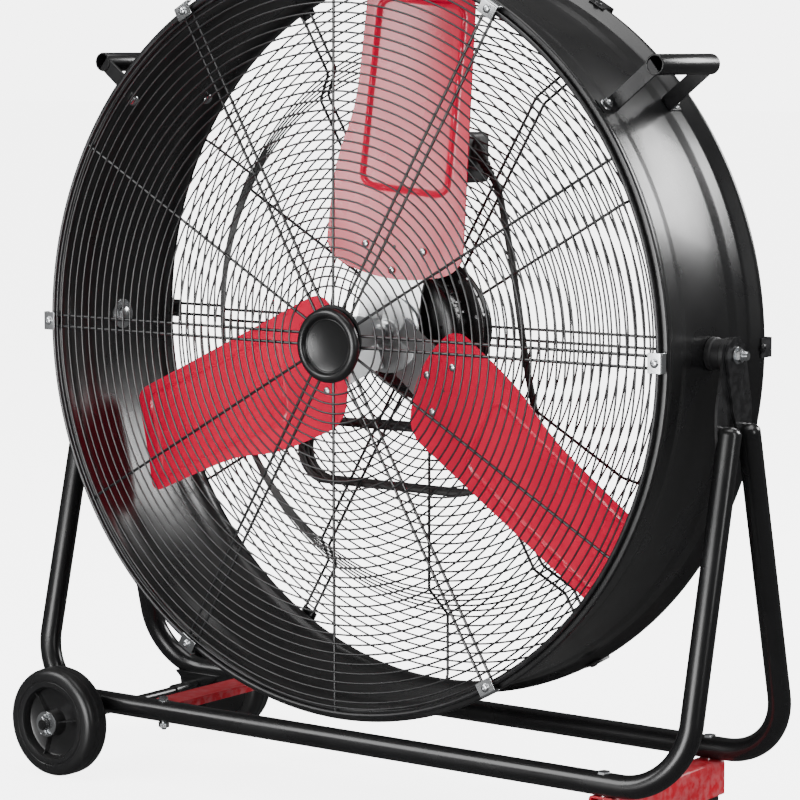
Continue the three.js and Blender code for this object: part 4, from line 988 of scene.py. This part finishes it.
for i, degrees in enumerate(MOTOR_BOLTS):
    seat = Vector((72.5, 69.4, 0))
    way = Vector((0, 1, 0))
    bolt = joined(washer(seat, way, 5, 1.0), hexagon(seat + way, way, 8, 4.2),
                  spin([(0, 0), (2.4, 0), (2.4, 15), (0, 15)], seat - way * 13, way, 16))
    piece(f"guard_bolt_{i + 1}", moved(bolt, at_drum @ about_y(degrees)), zinc, "drum",
          [f"motor_bolt_{i + 1}"])
keep("motor_stator", copper)
print("motor made")

# %% [markdown]
# ## Rotor
# Three enamelled blades are riveted to an aluminium spider. A blade is a sheet with a slight
# camber, pitched a little more at its root. Its trailing edge is straight, and its leading edge
# steps in halfway along. A raised bead runs round its middle, and a fine grid that is pushed up
# where the bead runs gives it soft sides. The small punched hole near the root isn't cut: a
# dark disc of painted shade stands in for it.

# %% Blades
BLADE_ANGLES = (83.3, 203.3, 323.3)
BLADE_TIP, BLADE_ROOT, SHOULDER, BLADE_Y = 371, 59, 90, -10


def blade_half(out, side):
    """Half the width: the trailing edge runs straight, the leading edge steps in halfway."""
    past = max(out, SHOULDER)
    if side > 0:
        return 55 + 19 / (1 + math.exp((past - 205) / 18))
    return 63 + 12.5 * (BLADE_TIP - past) / (BLADE_TIP - SHOULDER)


def blade_height(out, across):
    share = min(1, max(0, (out - BLADE_ROOT) / (BLADE_TIP - BLADE_ROOT)))
    pitch = math.radians(15 - 2 * share)
    bulge = 8 * share * (1 - (across / blade_half(out, across)) ** 2)
    return BLADE_Y - across * math.tan(pitch) + bulge


def bead(out, across):
    """Height of the raised bead at a place, by its distance from a rounded rectangle."""
    middle, length, width, radius = 253, 198, 94, 14
    dx = abs(out - middle) - length / 2 + radius
    dy = abs(across + 5) - width / 2 + radius
    distance = math.hypot(max(dx, 0), max(dy, 0)) + min(max(dx, dy), 0) - radius
    return 2.0 * math.exp(-(distance / 1.7) ** 2)


def blade_shape(thickness=1.6, rows=200, columns=110):
    fronts, backs = [], []
    for i in range(rows + 1):
        for k in range(columns + 1):
            over = 2 * k / columns - 1
            corner_cut = max(0, (abs(over) - 0.74) / 0.26)
            rounding = 1 - math.sqrt(max(0, 1 - corner_cut ** 2))
            start = BLADE_ROOT + 18 * over ** 2 + 17 * rounding
            end = math.sqrt(BLADE_TIP ** 2 - (over * 59) ** 2) - 14 * rounding
            out = start + (end - start) * i / rows
            across = over * blade_half(out, over)
            y = blade_height(out, across) - bead(out, across)
            fronts.append((out, y - thickness / 2, across))
            backs.append((out, y + thickness / 2, across))
    return two_skins(fronts, backs, rows, columns)


RIVETS, PUNCH_OUT = ((68, 0), (92, 31.5), (92, -31.5)), 93
for i, degrees in enumerate(BLADE_ANGLES):
    place = at_drum @ about_y(degrees)
    piece(f"pressed_blade_{i + 1}", moved(blade_shape(), place), red_enamel, "rotor",
          [f"blade_{i + 1}"])
    heads = []
    for out, across in RIVETS:
        seat = Vector((out, blade_height(out, across) - 1.2, across))
        heads.append(dome_head(seat, Vector((0, -1, 0)), 4.4, 2.0))
        heads.append(spin([(0, 0), (2.4, 0), (2.4, 7), (0, 7)], seat, (0, 1, 0), 16))
    piece(f"rivets_{i + 1}", moved(joined(*heads), place), zinc, "rotor")
    # A thin black disc is painted shade where the punched hole would show through; the blade itself is
    # not cut.
    mark = Vector((PUNCH_OUT, blade_height(PUNCH_OUT, 0) - 0.7, 0))
    piece(f"painted_hole_shade_{i + 1}", moved(spin([(0, 0), (2.2, 0), (2.2, 0.35), (0, 0.35)], mark,
                                            (0, -1, 0), 24), place), rubber, "rotor")
print("blades made")

# %% Hub spider and shaft
ARM_START, ARM_REACH, ARM_FRONT, ARM_BACK = 14, 112, 1.7, 4.7


def arm_skin(offset, rows, columns):
    points = []
    for i in range(rows + 1):
        for k in range(columns + 1):
            t, over = i / rows, 2 * k / columns - 1
            out = ARM_START + (ARM_REACH - ARM_START - 8 * over ** 4) * t
            across = over * (24 + 18 * t + 10 * (1 - t) ** 3)
            points.append((out, blade_height(out, across) + offset, across))
    return points


def arm_shape(rows=24, columns=24):
    front, back = arm_skin(ARM_FRONT, rows, columns), arm_skin(ARM_BACK, rows, columns)
    return two_skins(front, back, rows, columns)


plate = spin([(8.4, -13), (13, -13), (14, -12), (14.6, -10.6), (16, -10), (40, -10), (42, -9.2),
              (42, -6.8), (40, -6), (15, -6), (14, -5), (14, 9), (13, 10), (8.4, 10)], segments=96)
arms = [moved(arm_shape(), about_y(degrees)) for degrees in BLADE_ANGLES]
piece("pressed_spider", moved(joined(plate, *arms), at_drum), aluminium, "rotor",
      ["hub_spider"], angle=50)
shaft = joined(
    spin([(0, -24.2), (7, -24.2), (8, -23.2), (8, 97), (7, 98), (0, 98)], segments=48),
    hexagon(Vector((0, -13.3, 0)), Vector((0, -1, 0)), 21, 7),
    spin([(0, 36), (36, 36), (36.4, 36.4), (36.4, 79.6), (36, 80), (0, 80)], segments=64),
)
piece("rotor_spindle", moved(shaft, at_drum), bare_steel, "rotor", ["rotor_shaft"],
      bevel=0.2)
print("rotor made")

# %% [markdown]
# ## Switch box
# The box is a moulded tray with a screwed cover, and its knob points to one of four settings
# that are marked by small raised dots.

# %% Switch box and knob
FIELD_REAR = 72.1
box_front, box_rear = FIELD_REAR + 0.3, FIELD_REAR + 36.3
to_rear = Matrix.Rotation(math.pi / 2, 4, "X")


def box_sheet(width, height, radius, start, depth):
    """A rounded panel across the box's middle, from start towards the rear."""
    place = Matrix.Translation((BOX_MIDDLE.x, start + depth, BOX_MIDDLE.z)) @ to_rear
    return sheet_of(rounded_outline(width, height, radius), depth, place)


tray_box = joined(box_sheet(62, 54, 5, box_front, 36), box_sheet(58, 50, 4, box_front + 0.1, 0.2))
piece("switch_tray", moved(tray_box, at_drum), plastic, "drum", ["switch_box"],
      bevel=1.0)
cover = [box_sheet(61.6, 53.6, 5, box_rear + 0.3, 2.5)]
for dx, dz in ((25, 21), (-25, 21), (25, -21), (-25, -21)):
    seat = Vector((BOX_MIDDLE.x + dx, box_rear + 2.7, BOX_MIDDLE.z + dz))
    cover.append(dome_head(seat, Vector((0, 1, 0)), 2.6, 1.2))
for degrees in (90, 135, 180, 225):
    x, z = 20 * math.cos(math.radians(degrees)), 20 * math.sin(math.radians(degrees))
    seat = Vector((BOX_MIDDLE.x + x, box_rear + 2.7, BOX_MIDDLE.z + z))
    cover.append(dome_head(seat, Vector((0, 1, 0)), 1.3, 0.7))
piece("switch_lid", moved(joined(*cover), at_drum), plastic, "drum", ["switch_cover"],
      bevel=0.5)
knob_start = box_rear + 3.1
skirt = [(0, 0), (14, 0), (14, 1.6), (13.2, 2.6)]
knob_profile = skirt + [(12.8, 13), (12, 14.6), (10.6, 15), (0, 15)]
knob_centre = Vector((BOX_MIDDLE.x, knob_start, BOX_MIDDLE.z))
flutes = []
for k in range(24):
    a = 2 * math.pi * k / 24
    place = knob_centre + Vector((12.9 * math.cos(a), 8, 12.9 * math.sin(a)))
    flutes.append(spin([(0, -5), (0.9, -5), (0.9, 5), (0, 5)], place, (0, 1, 0), 8))
pointer = block((BOX_MIDDLE.x, knob_start + 16, BOX_MIDDLE.z), (4.6, 3.4, 24))
knob_shape = joined(spin(knob_profile, knob_centre, segments=64), *flutes, pointer)
piece("selector_knob", moved(knob_shape, at_drum), plastic, "knob",
      ["switch_knob"], bevel=0.4)
print("switch box made")

# %% [markdown]
# ## Floor and light
# A wide pale floor and large soft lights stand in for a photographer's sweep. Black gloss shows
# whatever stands round it, so the room is dim in reflections and bright only where it is seen
# directly. One light adds glints alone: it gives the upper blade its pale sheen and leaves the
# colour of everything else as it is.

# %% Stage
SEEN_WHITE = 5.5
floor_mesh = bpy.data.meshes.new("floor")
floor_mesh.from_pydata([(-30, -30, -0.0005), (30, -30, -0.0005), (30, 30, -0.0005), (-30, 30, -0.0005)],
                       [], [(0, 1, 2, 3)])
floor = bpy.data.objects.new("floor", floor_mesh)
bpy.context.scene.collection.objects.link(floor)
pale = bpy.data.materials.new("pale floor")
pale.use_nodes = True
paint = pale.node_tree.nodes["Principled BSDF"]
paint.inputs["Base Color"].default_value = (0.86, 0.86, 0.86, 1)
paint.inputs["Roughness"].default_value = 0.7
paint.inputs["Emission Color"].default_value = (1, 1, 1, 1)
seen_directly = add_node(pale.node_tree, "ShaderNodeLightPath").outputs["Is Camera Ray"]
glow = remapped(pale.node_tree, seen_directly, 0, 1, 0.0, SEEN_WHITE - 0.75)
pale.node_tree.links.new(glow, paint.inputs["Emission Strength"])
floor_mesh.materials.append(pale)
floor.visible_glossy = False
floor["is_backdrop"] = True

world = bpy.data.worlds.new("studio")
bpy.context.scene.world = world
world.use_nodes = True
room = world.node_tree
sky = room.nodes["Background"]
sky.inputs[0].default_value = (1, 1, 1, 1)
ray = add_node(room, "ShaderNodeLightPath")
seen = remapped(room, ray.outputs["Is Camera Ray"], 0, 1, 0.7, SEEN_WHITE)
mirrored = remapped(room, ray.outputs["Is Glossy Ray"], 0, 1, 1.0, 0.13)
room.links.new(times(room, seen, mirrored), sky.inputs[1])


def soft_light(name, place, size, power, only_glints=False):
    data = bpy.data.lights.new(name, "AREA")
    data.shape = "RECTANGLE"
    data.size, data.size_y = size
    data.energy = power
    light = bpy.data.objects.new(name, data)
    light.location = place
    light.rotation_mode = "QUATERNION"
    light.rotation_quaternion = (Vector((0, 0, 0.45)) - Vector(place)).to_track_quat("-Z", "Y")
    light.visible_camera = False
    light.visible_diffuse = not only_glints
    bpy.context.scene.collection.objects.link(light)


soft_light("key", (-2.2, -3.0, 3.0), (2.4, 2.4), 130)
soft_light("behind right", (1.35, 2.4, 1.7), (1.2, 1.0), 60)
soft_light("front fill", (0.1, -3.4, 0.5), (1.6, 1.4), 35)
soft_light("blade glint", (0.1, -3.4, 0.5), (1.6, 1.4), 300, only_glints=True)
soft_light("right strip", (3.4, -0.4, 1.6), (0.7, 2.2), 26)
soft_light("top", (0.4, 0.4, 3.6), (3.0, 2.0), 60)
print("stage set")

# %% Sizes
low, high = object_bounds()
